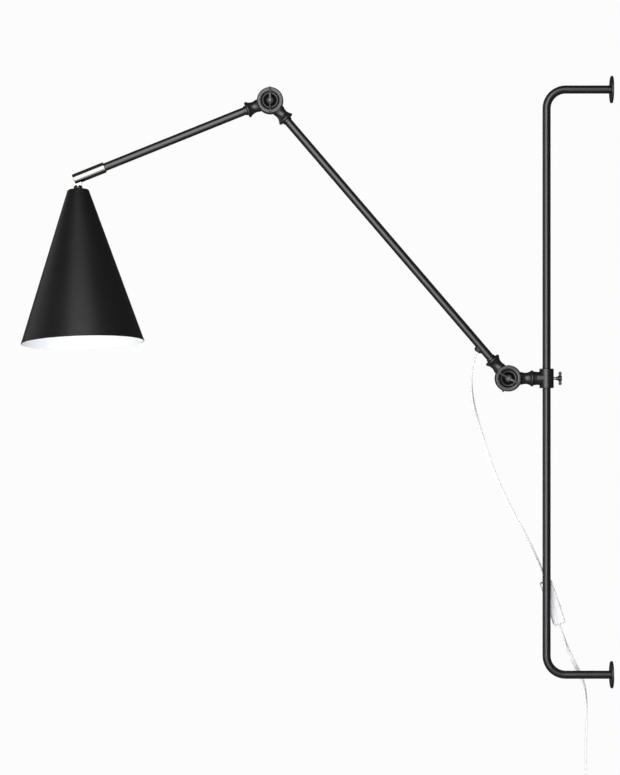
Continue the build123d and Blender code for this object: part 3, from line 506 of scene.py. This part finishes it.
NYLON = Coating("natural_nylon", (0.78, 0.75, 0.68), 0.42, scale=600.0, mottle=0.05, subsurface=0.2)
PORCELAIN = Coating("glazed_porcelain", (0.82, 0.8, 0.76), 0.12, scale=60.0, depth=0.0001, coat=0.6)
# Painted shade: the sleeve's nickel is a darker copy of the stem's, standing in for the dark in its
# reflections.
SHADED_NICKEL_SLEEVE = TurnedMetal("polished_nickel", (0.36, 0.353, 0.34), 0.17, SLEEVE, lines=900.0, depth=0.00004)
NICKEL_STEM = TurnedMetal("polished_nickel_stem", (0.6, 0.59, 0.57), 0.2, HEAD, lines=2200.0)
ZINC = TurnedMetal(
    "bright_zinc", (0.62, 0.62, 0.65), 0.34, Seat(BASE_CENTRE, ACROSS, Vector((1.0, 0.0, 0.0))), lines=1500.0
)
BRASS = TurnedMetal("plain_brass", (0.72, 0.5, 0.2), 0.28, HEAD, lines=1800.0)
CONTACT_STRIP = TurnedMetal("tinned_strip", (0.8, 0.8, 0.79), 0.3, SWITCH, lines=900.0)
TINNED = Coating("tinned_strands", (0.7, 0.7, 0.68), 0.35, specular=1.0, scale=3000.0, depth=0.0001)
CLEAR_CASE = ClearMoulding("clear_case", (0.96, 0.95, 0.975), (0.62, 0.62, 0.64), 0.3, 0.12, ior=1.3)
CLEAR_SHEATH = ClearMoulding(
    "clear_sheath", (0.98, 0.98, 0.97), (0.9, 0.9, 0.88), 0.4, 0.08, scale=90.0, ior=1.15
)

Finish = Coating | TurnedMetal | ClearMoulding


# ------------------------------------------------------------------ making meshes


def turned(outline: Outline, steps: int) -> bmesh.types.BMesh:
    """Turn a closed outline of (radius, height) points round Z.

    Args:
        outline: the points in order.
        steps: how many flats the round gets.

    Returns:
        The turned mesh, in the seat's millimetres.
    """
    mesh = bmesh.new()
    corners = [mesh.verts.new((radius, 0.0, height)) for radius, height in outline]
    edges = [mesh.edges.new(pair) for pair in zip(corners, [*corners[1:], corners[0]])]
    bmesh.ops.spin(
        mesh,
        geom=[*corners, *edges],
        cent=(0.0, 0.0, 0.0),
        axis=(0.0, 0.0, 1.0),
        angle=2 * math.pi,
        steps=steps,
        use_merge=True,
    )
    bmesh.ops.remove_doubles(mesh, verts=mesh.verts, dist=0.0005)
    bmesh.ops.recalc_face_normals(mesh, faces=mesh.faces)
    return mesh


def rounded(outline: Outline, corners: dict[int, float], segments: int) -> Outline:
    """Round some corners of an outline.

    Args:
        outline: the points in order.
        corners: a corner's number to the distance that its round takes up on each side.
        segments: how many steps each round has.

    Returns:
        The longer outline.
    """
    result: Outline = []
    for index, (x, z) in enumerate(outline):
        reach = corners.get(index)
        if reach is None:
            result.append((x, z))
            continue
        before, after = Vector(outline[index - 1]), Vector(outline[(index + 1) % len(outline)])
        corner = Vector((x, z))
        first = corner + (before - corner).normalized() * reach
        last = corner + (after - corner).normalized() * reach
        for step in range(segments + 1):
            t = step / segments
            point = first * (1 - t) ** 2 + corner * 2 * t * (1 - t) + last * t**2
            result.append((point.x, point.y))
    return result


class Workshop:
    """Turns finished bmeshes into pieces and fixes them to the CAD frame."""

    def __init__(self, frame: dict) -> None:
        """Keep the loaded frame."""
        self.nodes: dict[str, bpy.types.Object] = frame["nodes"]
        self.dressed: set[str] = set()

    def piece(
        self,
        name: str,
        mesh: bmesh.types.BMesh,
        seat: Seat,
        finishes: list[Finish],
        sharp: float,
    ) -> bpy.types.Object:
        """Put a mesh into the scene at its place.

        Args:
            name: the piece's name.
            mesh: the shape in its seat's millimetres, which this frees.
            seat: where the shape stands.
            finishes: the finishes, in the order of the faces' material numbers.
            sharp: the angle between faces, in degrees, past which an edge shows.

        Returns:
            The object, at the origin and unturned.
        """
        bmesh.ops.transform(mesh, matrix=seat.matrix(), verts=mesh.verts)
        data = bpy.data.meshes.new(name)
        mesh.to_mesh(data)
        mesh.free()
        return self.dress_mesh(name, data, finishes, sharp)

    def dress_mesh(
        self, name: str, data: bpy.types.Mesh, finishes: list[Finish], sharp: float = 35.0
    ) -> bpy.types.Object:
        """Link a mesh that is already in place, smooth it and give it its finishes.

        Args:
            name: the piece's name.
            data: the mesh in metres.
            finishes: the finishes, in the order of the faces' material numbers.
            sharp: the angle between faces, in degrees, past which an edge shows.

        Returns:
            The object.
        """
        data.name = name
        for finish in finishes:
            data.materials.append(finish.material())
        data.shade_smooth()
        data.set_sharp_from_angle(angle=math.radians(sharp))
        made = bpy.data.objects.new(name, data)
        bpy.context.scene.collection.objects.link(made)
        log.info("%s: %d faces", name, len(data.polygons))
        return made

    def fix(self, made: bpy.types.Object, body: Body | None, slot: str, *stands_for: str) -> bpy.types.Object:
        """Fix a piece to its body and hide the CAD nodes that it replaces.

        Args:
            made: the piece.
            body: the body it rides on, or None where it bends between two.
            slot: the record's material slot; not used.
            stands_for: the CAD nodes that it replaces.

        Returns:
            The piece.
        """
        if body is not None:
            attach(made, body.value)
        if stands_for:
            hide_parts(*stands_for)
            self.dressed.update(stands_for)
        return made

    def dress(self, finish: Finish, *names: str) -> None:
        """Give CAD nodes a finish.

        Args:
            finish: the finish.
            names: the nodes' names.
        """
        for name in names:
            slots = self.nodes[name].material_slots
            for slot in slots:
                slot.link = "OBJECT"
                slot.material = finish.material()
            self.dressed.add(name)
            log.info("%s: %s", name, finish.name)

    def undressed(self) -> list[str]:
        """The CAD nodes that have no finish of this file yet."""
        return sorted(set(self.nodes) - self.dressed)


# ------------------------------------------------------------------ the frame of the lamp


@dataclass(frozen=True)
class SteelWork:
    """The wall bar, the collar on it, the arms and their joints."""

    face: float = 9.5
    recess: float = 8.5
    groove: tuple[float, float] = (12.05, 13.65)
    floor_margin: float = 0.15
    weld: float = 0.000002

    def casting(self, shop: Workshop, node: str, name: str, centre: Vector, body: Body) -> None:
        """Copy a front joint half, give the floors of its recess and groove the casting's roughness, and
        darken them as painted shade.

        Args:
            shop: the workshop.
            node: the CAD node that the copy stands for.
            name: the copy's name.
            centre: the joint's centre, in millimetres.
            body: the body that it rides on.
        """
        mesh = bmesh.new()
        mesh.from_mesh(shop.nodes[node].data)
        bmesh.ops.remove_doubles(mesh, verts=mesh.verts, dist=self.weld)
        for face in mesh.faces:
            middle = face.calc_center_median() / MM - centre
            radius = math.hypot(middle.x, middle.z)
            low = -middle.y < self.face - self.floor_margin
            # Recess and groove floors take the second finish, whose darker colour is painted shade.
            rough_shaded_floor = low and (radius < self.recess or self.groove[0] < radius < self.groove[1])
            face.material_index = int(rough_shaded_floor and middle.y < 0.0)
        data = bpy.data.meshes.new(name)
        mesh.to_mesh(data)
        mesh.free()
        made = shop.dress_mesh(name, data, [CAST_BLACK, CAST_ROUGH_SHADED])
        flats = made.modifiers.new("flat_faces", "WEIGHTED_NORMAL")
        flats.weight = 100
        flats.keep_sharp = True
        shop.fix(made, body, "joint_black", node)

    def dress(self, shop: Workshop) -> None:
        """Paint the tubes and castings, and plate the screws and nuts.

        Args:
            shop: the workshop.
        """
        shop.dress(
            SATIN_BLACK,
            "bar_tube",
            "upper_wall_flange",
            "lower_wall_flange",
            "collar_body",
            "bush_retaining_ring",
            "lower_arm_tube",
            "lower_arm_ferrules",
            "upper_arm_tube",
            "upper_arm_ferrule",
        )
        shop.dress(
            CAST_BLACK,
            "base_rear_knuckle",
            "base_rear_cap",
            "base_stop_screw",
            "elbow_rear_knuckle",
            "elbow_rear_cap",
            "clamp_screw_head",
        )
        self.casting(shop, "base_front_knuckle", "base_front_casting", BASE_CENTRE, Body.LOWER_ARM)
        self.casting(shop, "elbow_front_knuckle", "elbow_front_casting", ELBOW_CENTRE, Body.LOWER_ARM)
        shop.dress(WING_BLACK_LIT, "base_wing_screw", "elbow_wing_screw")
        shop.dress(
            ZINC,
            "base_clamp_nut",
            "elbow_clamp_nut",
            "clamp_screw_stud",
        )
        shop.dress(BLACKED_STEEL, "base_spring_washer", "elbow_spring_washer")
        shop.dress(FIBRE, "base_friction_washer", "elbow_friction_washer")
        shop.dress(NYLON, "slider_bush")
        shop.dress(BLACK_PLASTIC, "cord_gland")
        shop.dress(CLEAR_SHEATH, "lower_arm_cable", "upper_arm_cable")


# ------------------------------------------------------------------ head


@dataclass(frozen=True)
class Head:
    """The sleeve, the stem, the shade and the lampholder."""

    top: float = 17.2
    mouth: float = 243.4
    hole: float = 5.3
    top_radius: float = 15.4
    mouth_radius: float = 90.0
    wall: float = 1.0
    shoulder: float = 2.4
    hem: float = 1.3
    round_steps: int = 6
    turn_steps: int = 160

    @property
    def slope(self) -> float:
        """The angle of the shade's wall from its axis, in radians."""
        return math.atan2(self.mouth_radius - self.top_radius, self.mouth - self.top)

    def shade_outline(self) -> Outline:
        """The shade's section, from the hole in its top, down the outside, round the hem and up the inside.

        Returns:
            The outline.
        """
        slope = self.slope
        across = self.wall / math.cos(slope)
        outside = rounded(
            [(self.hole, self.top), (self.top_radius, self.top), (self.mouth_radius, self.mouth)],
            {1: self.shoulder},
            self.round_steps,
        )
        hem_start = (
            self.mouth_radius - math.sin(slope) * 2 * self.hem,
            self.mouth - math.cos(slope) * 2 * self.hem,
        )
        outside = [*outside[:-1], hem_start, (self.mouth_radius - 0.1, self.mouth - 0.5)]
        outside.append((self.mouth_radius - 0.35, self.mouth))
        inner_mouth = self.mouth_radius - across
        inner_top = self.top + self.wall
        inner_top_radius = self.top_radius + self.wall * math.tan(slope) - across
        inside = [(inner_mouth + 0.1, self.mouth), (inner_mouth - 0.15, self.mouth - 0.4)]
        inside.append((inner_mouth - math.sin(slope) * 3.0, self.mouth - math.cos(slope) * 3.0))
        inside += [(inner_top_radius + 1.2, inner_top + 3.0), (inner_top_radius - 1.6, inner_top)]
        inside.append((self.hole, inner_top))
        return outside + inside

    def shade(self, shop: Workshop) -> None:
        """Spin the shade: black outside, white inside and on the lip.

        Args:
            shop: the workshop.
        """
        mesh = turned(self.shade_outline(), steps=self.turn_steps)
        for face in mesh.faces:
            middle = face.calc_center_median()
            radius = math.hypot(middle.x, middle.y)
            skin = self.mouth_radius - (self.mouth - middle.z) * math.tan(self.slope) - self.wall * 0.75
            inner = middle.z > self.top + self.wall * 0.5 and radius < skin
            face.material_index = int(inner)
        made = shop.piece("lamp_shade", mesh, HEAD, [SHADE_BLACK, SHADE_WHITE], sharp=30.0)
        shop.fix(made, Body.HEAD, "shade_black", "shade")

    def dress(self, shop: Workshop) -> None:
        """Build the shade and dress the pieces that carry it.

        Args:
            shop: the workshop.
        """
        self.shade(shop)
        shop.dress(SHADED_NICKEL_SLEEVE, "head_sleeve", "tilt_pin", "sleeve_grub_screw")
        shop.dress(NICKEL_STEM, "swivel_stem")
        shop.dress(SATIN_BLACK, "shade_cap")
        shop.dress(ZINC, "lock_nut")
        shop.dress(HOLDER_BLACK, "holder_cap", "holder_skirt")
        shop.dress(PORCELAIN, "holder_insulator")
        shop.dress(BRASS, "screw_shell", "centre_contact")


# ------------------------------------------------------------------ cord


@dataclass(frozen=True)
class Flex:
    """Clear flat twin cord: two lobes side by side, each with a tinned core."""

    width: float = 5.8
    lobe: float = 1.45
    core: float = 0.72
    lobe_arc: float = 64.0
    lobe_steps: int = 8
    waist: float = 0.62
    core_sides: int = 8
    steps: int = 12

    def profile(self, name: str, rings: list[Outline]) -> bpy.types.Object:
        """A closed section for a curve to carry.

        Args:
            name: the section's name.
            rings: one outline per closed part, in millimetres.

        Returns:
            A curve object, not yet linked to the scene.
        """
        data = bpy.data.curves.new(name, "CURVE")
        data.dimensions = "2D"
        data.fill_mode = "NONE"
        for ring in rings:
            spline = data.splines.new("POLY")
            spline.points.add(len(ring) - 1)
            for point, (x, y) in zip(spline.points, ring):
                point.co = (x * MM, y * MM, 0.0, 1.0)
            spline.use_cyclic_u = True
        return bpy.data.objects.new(name, data)

    def sheath_ring(self) -> Outline:
        """The sheath's outline: two lobes with a shallow groove between them."""
        centre = self.width / 2 - self.lobe
        ring: Outline = []
        for side in (1, -1):
            for step in range(self.lobe_steps + 1):
                angle = math.radians(self.lobe_arc * (2 * step / self.lobe_steps - 1))
                across = side * (centre + self.lobe * math.cos(angle))
                ring.append((across, side * self.lobe * math.sin(angle)))
            ring.append((0.0, side * (self.lobe * self.waist)))
        return ring

    def core_rings(self) -> list[Outline]:
        """The two cores' outlines."""
        centre = self.width / 2 - self.lobe
        return [
            [
                (
                    side * centre + self.core * math.cos(2 * math.pi * step / self.core_sides),
                    self.core * math.sin(2 * math.pi * step / self.core_sides),
                )
                for step in range(self.core_sides)
            ]
            for side in (1, -1)
        ]

    def route(self, name: str, points: list[Point], twists: list[float]) -> bpy.types.Object:
        """The cord's centreline as a smooth spline.

        Args:
            name: the curve's name.
            points: the control points, in millimetres.
            twists: the cord's turn about its line at each point, in degrees.

        Returns:
            The curve object.
        """
        data = bpy.data.curves.new(name, "CURVE")
        data.dimensions = "3D"
        data.resolution_u = self.steps
        data.twist_mode = "MINIMUM"
        spline = data.splines.new("NURBS")
        spline.points.add(len(points) - 1)
        for target, point, twist in zip(spline.points, points, twists):
            target.co = (*metres(*point), 1.0)
            target.tilt = math.radians(twist)
        spline.order_u = 3
        spline.use_endpoint_u = True
        made = bpy.data.objects.new(name, data)
        bpy.context.scene.collection.objects.link(made)
        return made

    def swept(self, route: bpy.types.Object, section: bpy.types.Object | None) -> bpy.types.Mesh:
        """The mesh of a route with a section, or its bare line.

        Args:
            route: the route's curve.
            section: the section's curve, or None for the line alone.

        Returns:
            A new mesh, in metres.
        """
        route.data.bevel_mode = "OBJECT"
        route.data.bevel_object = section
        route.data.use_fill_caps = section is not None
        bpy.context.view_layer.update()
        ready = route.evaluated_get(bpy.context.evaluated_depsgraph_get())
        return bpy.data.meshes.new_from_object(ready)

    def lay(
        self, shop: Workshop, name: str, points: list[Point], twists: list[float]
    ) -> tuple[bpy.types.Object, bpy.types.Object, list[Point]]:
        """Make one length of cord.

        Args:
            shop: the workshop.
            name: the cord's name.
            points: its control points, in millimetres.
            twists: its turn about its line at each point, in degrees.

        Returns:
            The sheath, its cores and the points that both follow, in metres.
        """
        route = self.route(f"{name}_route", points, twists)
        line = self.swept(route, None)
        path = [tuple(vertex.co) for vertex in line.vertices]
        sheath_section = self.profile(f"{name}_section", [self.sheath_ring()])
        core_section = self.profile(f"{name}_core_section", self.core_rings())
        for section in (sheath_section, core_section):
            bpy.context.scene.collection.objects.link(section)
        sheath = shop.dress_mesh(name, self.swept(route, sheath_section), [CLEAR_SHEATH], sharp=50.0)
        cores = shop.dress_mesh(f"{name}_cores", self.swept(route, core_section), [TINNED], sharp=60.0)
        for spare in (route, sheath_section, core_section):
            bpy.data.objects.remove(spare)
        return sheath, cores, path


@dataclass(frozen=True)
class Hank:
    """The put-away cord below the view: runs laid side by side in two layers and drawn in by a tie."""

    x: float = -64.0
    y: float = 21.5
    layer: float = 6.8
    top: float = -617.0
    run: float = 90.0
    outer: float = 27.5
    step: float = 7.0
    draw: float = 9.0
    runs: int = 7
    shares: tuple[float, ...] = (0.0, 0.3, 0.5, 0.7, 1.0)
    fold_side: float = 0.75
    fold_end: float = 1.3
    tail: float = 20.0

    def points(self) -> tuple[list[Point], list[Point]]:
        """The hank's control points.

        Returns:
            The points of its runs and folds, and the two points of its tail.
        """
        made: list[Point] = []
        bottom = self.top - self.run
        for index in range(self.runs):
            folds = min(index, self.runs - 1 - index)
            out = self.outer - self.step / 2 * folds
            middle = index == self.runs // 2
            first = 0 if middle else int(index > self.runs // 2)
            last = 1 if middle else first
            side = 1 if index % 2 == 0 else -1
            z_start, z_end = (self.top, bottom) if side > 0 else (bottom, self.top)
            for share in self.shares:
                pull = self.draw * math.sin(math.pi * share) ** 2
                made.append(
                    (
                        self.x + side * (out - pull),
                        self.y + self.layer * (first + (last - first) * share),
                        z_start + (z_end - z_start) * share,
                    )
                )
            if index == self.runs - 1:
                break
            beyond = -1 if side > 0 else 1
            following = min(index + 1, self.runs - 2 - index)
            other = self.outer - self.step / 2 * following
            reach = (out + other) / 2
            depth = self.y + self.layer * last
            for across, drop in ((out, self.fold_side), (0.0, self.fold_end), (-other, self.fold_side)):
                made.append((self.x + side * across, depth, z_end + beyond * reach * drop))
        tail_x, tail_y, tail_z = made[-1]
        return made, [(tail_x, tail_y, tail_z - self.tail), tuple(TAIL_END)]


@dataclass(frozen=True)
class Cord:
    """The cord from the lower arm to the plug, and what is on it."""

    flex: Flex = Flex()
    hank: Hank = Hank()
    tuck: float = 1.5
    port: float = 28.0
    lead: float = 20.0
    upper_length: float = 369.3
    lower_length: float = 1376.9

    def upper_points(self) -> list[Point]:
        """The route from the gland to the switch."""
        start = Vector(GLAND_MOUTH) - GLAND_ALONG * self.tuck
        top = SWITCH_CENTRE - SWITCH_ALONG * self.port
        return [
            tuple(start),
            (-203.2, 0.2, 34.0),
            (-206.9, 1.0, 17.0),
            (-208.0, 2.4, -4.0),
            (-205.2, 4.6, -28.0),
            (-198.8, 7.4, -54.0),
            (-190.4, 10.4, -83.0),
            (-180.0, 13.4, -116.0),
            (-166.6, 16.2, -150.0),
            (-148.6, 18.2, -187.0),
            (-128.6, 19.2, -223.0),
            (-112.0, 19.7, -255.0),
            tuple(top - SWITCH_ALONG * self.lead),
            tuple(top),
        ]

    def lower_points(self) -> list[Point]:
        """The route from the switch to the plug, by way of the hank."""
        bottom = SWITCH_CENTRE + SWITCH_ALONG * self.port
        runs, tail = self.hank.points()
        return [
            tuple(bottom),
            tuple(bottom + SWITCH_ALONG * self.lead),
            (-66.6, 20.4, -388.0),
            (-57.6, 20.7, -408.5),
            (-46.8, 21.0, -429.0),
            (-39.2, 21.2, -448.5),
            (-36.3, 21.3, -471.0),
            (-35.9, 21.2, -503.0),
            (-36.9, 21.6, -537.0),
            (-36.5, 21.5, -577.0),
            *runs,
            *tail,
        ]

    def build(self, shop: Workshop) -> None:
        """Lay both lengths of cord in place of the CAD cord, and dress the switch, plug and tie.

        Args:
            shop: the workshop.
        """
        points = self.upper_points()
        twists = [0, 0, 0, 10, 30, 55, 80, 90, 90, 85, 75, 55, 25, 0]
        sheath, cores, path = self.flex.lay(shop, "flex_upper", points, twists)
        for piece in (sheath, cores):
            shop.fix(piece, None, "clear_cord", "cord_upper")
            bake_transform(piece)
        points = self.lower_points()
        twists = [0, 0, 40, 85, 95, 60, 20, 0, 0, 0] + [0] * (len(points) - 10)
        sheath, cores, path = self.flex.lay(shop, "flex_lower", points, twists)
        for piece in (sheath, cores):
            shop.fix(piece, Body.COLLAR, "clear_cord", "cord_lower", "cord_hank")
        shop.dress(CLEAR_CASE, "switch_cover", "switch_base")
        shop.dress(ZINC, "switch_screws")
        shop.dress(CONTACT_STRIP, "switch_contacts")
        shop.dress(WHITE_PLASTIC, "switch_rocker", "plug_body")
        shop.dress(BRASS, "plug_pins")
        shop.dress(BLACK_PLASTIC, "hank_tie")


# ------------------------------------------------------------------ studio


@dataclass(frozen=True)
class Softbox:
    """A soft lamp: where it hangs, the point that it faces, its size and its power in watts."""

    name: str
    place: Point
    aim: Point
    width: float
    height: float
    watts: float
    unseen_by: tuple[str, ...] = ()

    def hang(self) -> None:
        """Put the lamp into the scene, hidden from the camera and from the kinds of ray that don't see it."""
        data = bpy.data.lights.new(self.name, "AREA")
        data.shape = "RECTANGLE"
        data.size, data.size_y = self.width * MM, self.height * MM
        data.energy = self.watts
        lamp = bpy.data.objects.new(self.name, data)
        lamp.location = metres(*self.place)
        facing = metres(*self.aim) - metres(*self.place)
        lamp.rotation_euler = facing.to_track_quat("-Z", "Y").to_euler()
        lamp.visible_camera = False
        for ray in self.unseen_by:
            setattr(lamp, f"visible_{ray}", False)
        bpy.context.scene.collection.objects.link(lamp)


LAMPS = (
    Softbox("front_lamp", (-800.0, -2600.0, 700.0), (-800.0, 0.0, 700.0), 2200.0, 3200.0, 44.0),
    Softbox("left_lamp", (-3000.0, 600.0, 300.0), (-450.0, 0.0, 0.0), 3400.0, 2200.0, 7.0),
    Softbox(
        "floor_bounce",
        (-850.0, -1000.0, -780.0),
        (-790.0, 0.0, 60.0),
        1200.0,
        800.0,
        14.0,
        ("glossy",),
    ),
    Softbox(
        "front_card",
        (-750.0, -900.0, 80.0),
        (-750.0, 0.0, 80.0),
        1100.0,
        2100.0,
        6.5,
        ("diffuse", "transmission"),
    ),
)


@dataclass(frozen=True)
class Studio:
    """A pale floor that curves up into a backdrop, soft lamps and the camera."""

    eye: Point = (-444.7, -3500.0, -7.9)
    view_height: float = 1139.0
    sensor: float = 36.0
    floor: float = -1250.0
    half: float = 6000.0
    back: float = 2600.0
    sweep: float = 900.0
    sweep_steps: int = 12
    paper: float = 0.86
    paper_roughness: float = 0.9
    flat: float = 0.95
    mirrored: float = 0.06
    ambient: float = 0.27

    def cove(self) -> None:
        """Make the floor and backdrop as one curved sheet."""
        mesh = bmesh.new()
        line = [(-self.half, 0.0), (self.back - self.sweep, 0.0)]
        for step in range(1, self.sweep_steps + 1):
            angle = math.radians(90 * step / self.sweep_steps)
            line.append(
                (self.back - self.sweep + self.sweep * math.sin(angle), self.sweep * (1 - math.cos(angle)))
            )
        line.append((self.back, 2 * self.half))
        corners = [mesh.verts.new((-self.half, y, self.floor + z)) for y, z in line]
        edges = [mesh.edges.new(pair) for pair in zip(corners, corners[1:])]
        grown = bmesh.ops.extrude_edge_only(mesh, edges=edges)["geom"]
        moved = [item for item in grown if isinstance(item, bmesh.types.BMVert)]
        bmesh.ops.translate(mesh, verts=moved, vec=(2 * self.half, 0.0, 0.0))
        bmesh.ops.recalc_face_normals(mesh, faces=mesh.faces)
        bmesh.ops.scale(mesh, vec=(MM, MM, MM), verts=mesh.verts)
        data = bpy.data.meshes.new("studio_cove")
        mesh.to_mesh(data)
        mesh.free()
        data.shade_smooth()
        data.materials.append(self.cove_material())
        cove = bpy.data.objects.new("studio_cove", data)
        bpy.context.scene.collection.objects.link(cove)

    def cove_material(self) -> bpy.types.Material:
        """Matt white that keeps a faint shadow, nearly white to the camera and dark in reflections."""
        material, bench, shader = blank_material("studio_white")
        shader.inputs["Base Color"].default_value = rgba((self.paper, self.paper, self.paper))
        shader.inputs["Roughness"].default_value = self.paper_roughness
        shader.inputs["Specular IOR Level"].default_value = 0.0
        path = bench.node("ShaderNodeLightPath").outputs
        seen = bench.maths("MAXIMUM", path["Is Camera Ray"], path["Is Transmission Ray"])
        shine = path["Is Glossy Ray"]
        level = bench.maths("SUBTRACT", 1.0, bench.maths("MULTIPLY", shine, 1.0 - self.mirrored))
        glow = bench.node("ShaderNodeEmission", {"Color": (1.0, 1.0, 1.0, 1.0), "Strength": level})
        mix = bench.node(
            "ShaderNodeMixShader",
            {
                0: bench.maths("MAXIMUM", bench.maths("MULTIPLY", seen, self.flat), shine),
                1: shader.outputs["BSDF"],
                2: glow.outputs["Emission"],
            },
        )
        output = next(node for node in material.node_tree.nodes if node.type == "OUTPUT_MATERIAL")
        bench.tree.links.new(mix.outputs["Shader"], output.inputs["Surface"])
        return material

    def world(self) -> None:
        """Plain ambient light, white where the camera sees past the backdrop and dark in reflections."""
        world = bpy.data.worlds.new("studio_air")
        world.use_nodes = True
        world.node_tree.nodes.clear()
        bench = NodeBench(world.node_tree)
        path = bench.node("ShaderNodeLightPath").outputs
        seen = bench.maths("MAXIMUM", path["Is Camera Ray"], path["Is Transmission Ray"])
        shine = bench.maths("MULTIPLY", path["Is Glossy Ray"], self.ambient - self.mirrored)
        level = bench.maths("SUBTRACT", bench.maths("MAXIMUM", seen, self.ambient), shine)
        sky = bench.node("ShaderNodeBackground", {"Color": (1.0, 1.0, 1.0, 1.0), "Strength": level})
        bench.node("ShaderNodeOutputWorld", {"Surface": sky.outputs["Background"]})
        bpy.context.scene.world = world

    def camera(self) -> None:
        """Stand the camera square to the plane of the arms, as the photograph was taken."""
        data = bpy.data.cameras.new("camera")
        data.sensor_width = self.sensor
        data.lens = self.sensor * -self.eye[1] / self.view_height
        data.clip_start = 0.1
        data.clip_end = 60.0
        camera = bpy.data.objects.new("camera", data)
        camera.location = metres(*self.eye)
        camera.rotation_euler = (math.radians(90.0), 0.0, 0.0)
        bpy.context.scene.collection.objects.link(camera)
        bpy.context.scene.camera = camera

    def build(self) -> None:
        """Set up the whole studio."""
        self.cove()
        self.world()
        for lamp in LAMPS:
            lamp.hang()
        self.camera()


def main() -> None:
    """Dress the lamp piece by piece and light it."""
    logging.basicConfig(level=logging.INFO, format="%(name)s %(message)s")
    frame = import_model()
    scene = bpy.context.scene
    scene.view_settings.view_transform = "Standard"
    shop = Workshop(frame)
    Studio().build()
    Cord().build(shop)
    Head().dress(shop)
    SteelWork().dress(shop)
    for name in shop.undressed():
        log.warning("%s has no finish", name)


if __name__ == "__main__":
    main()
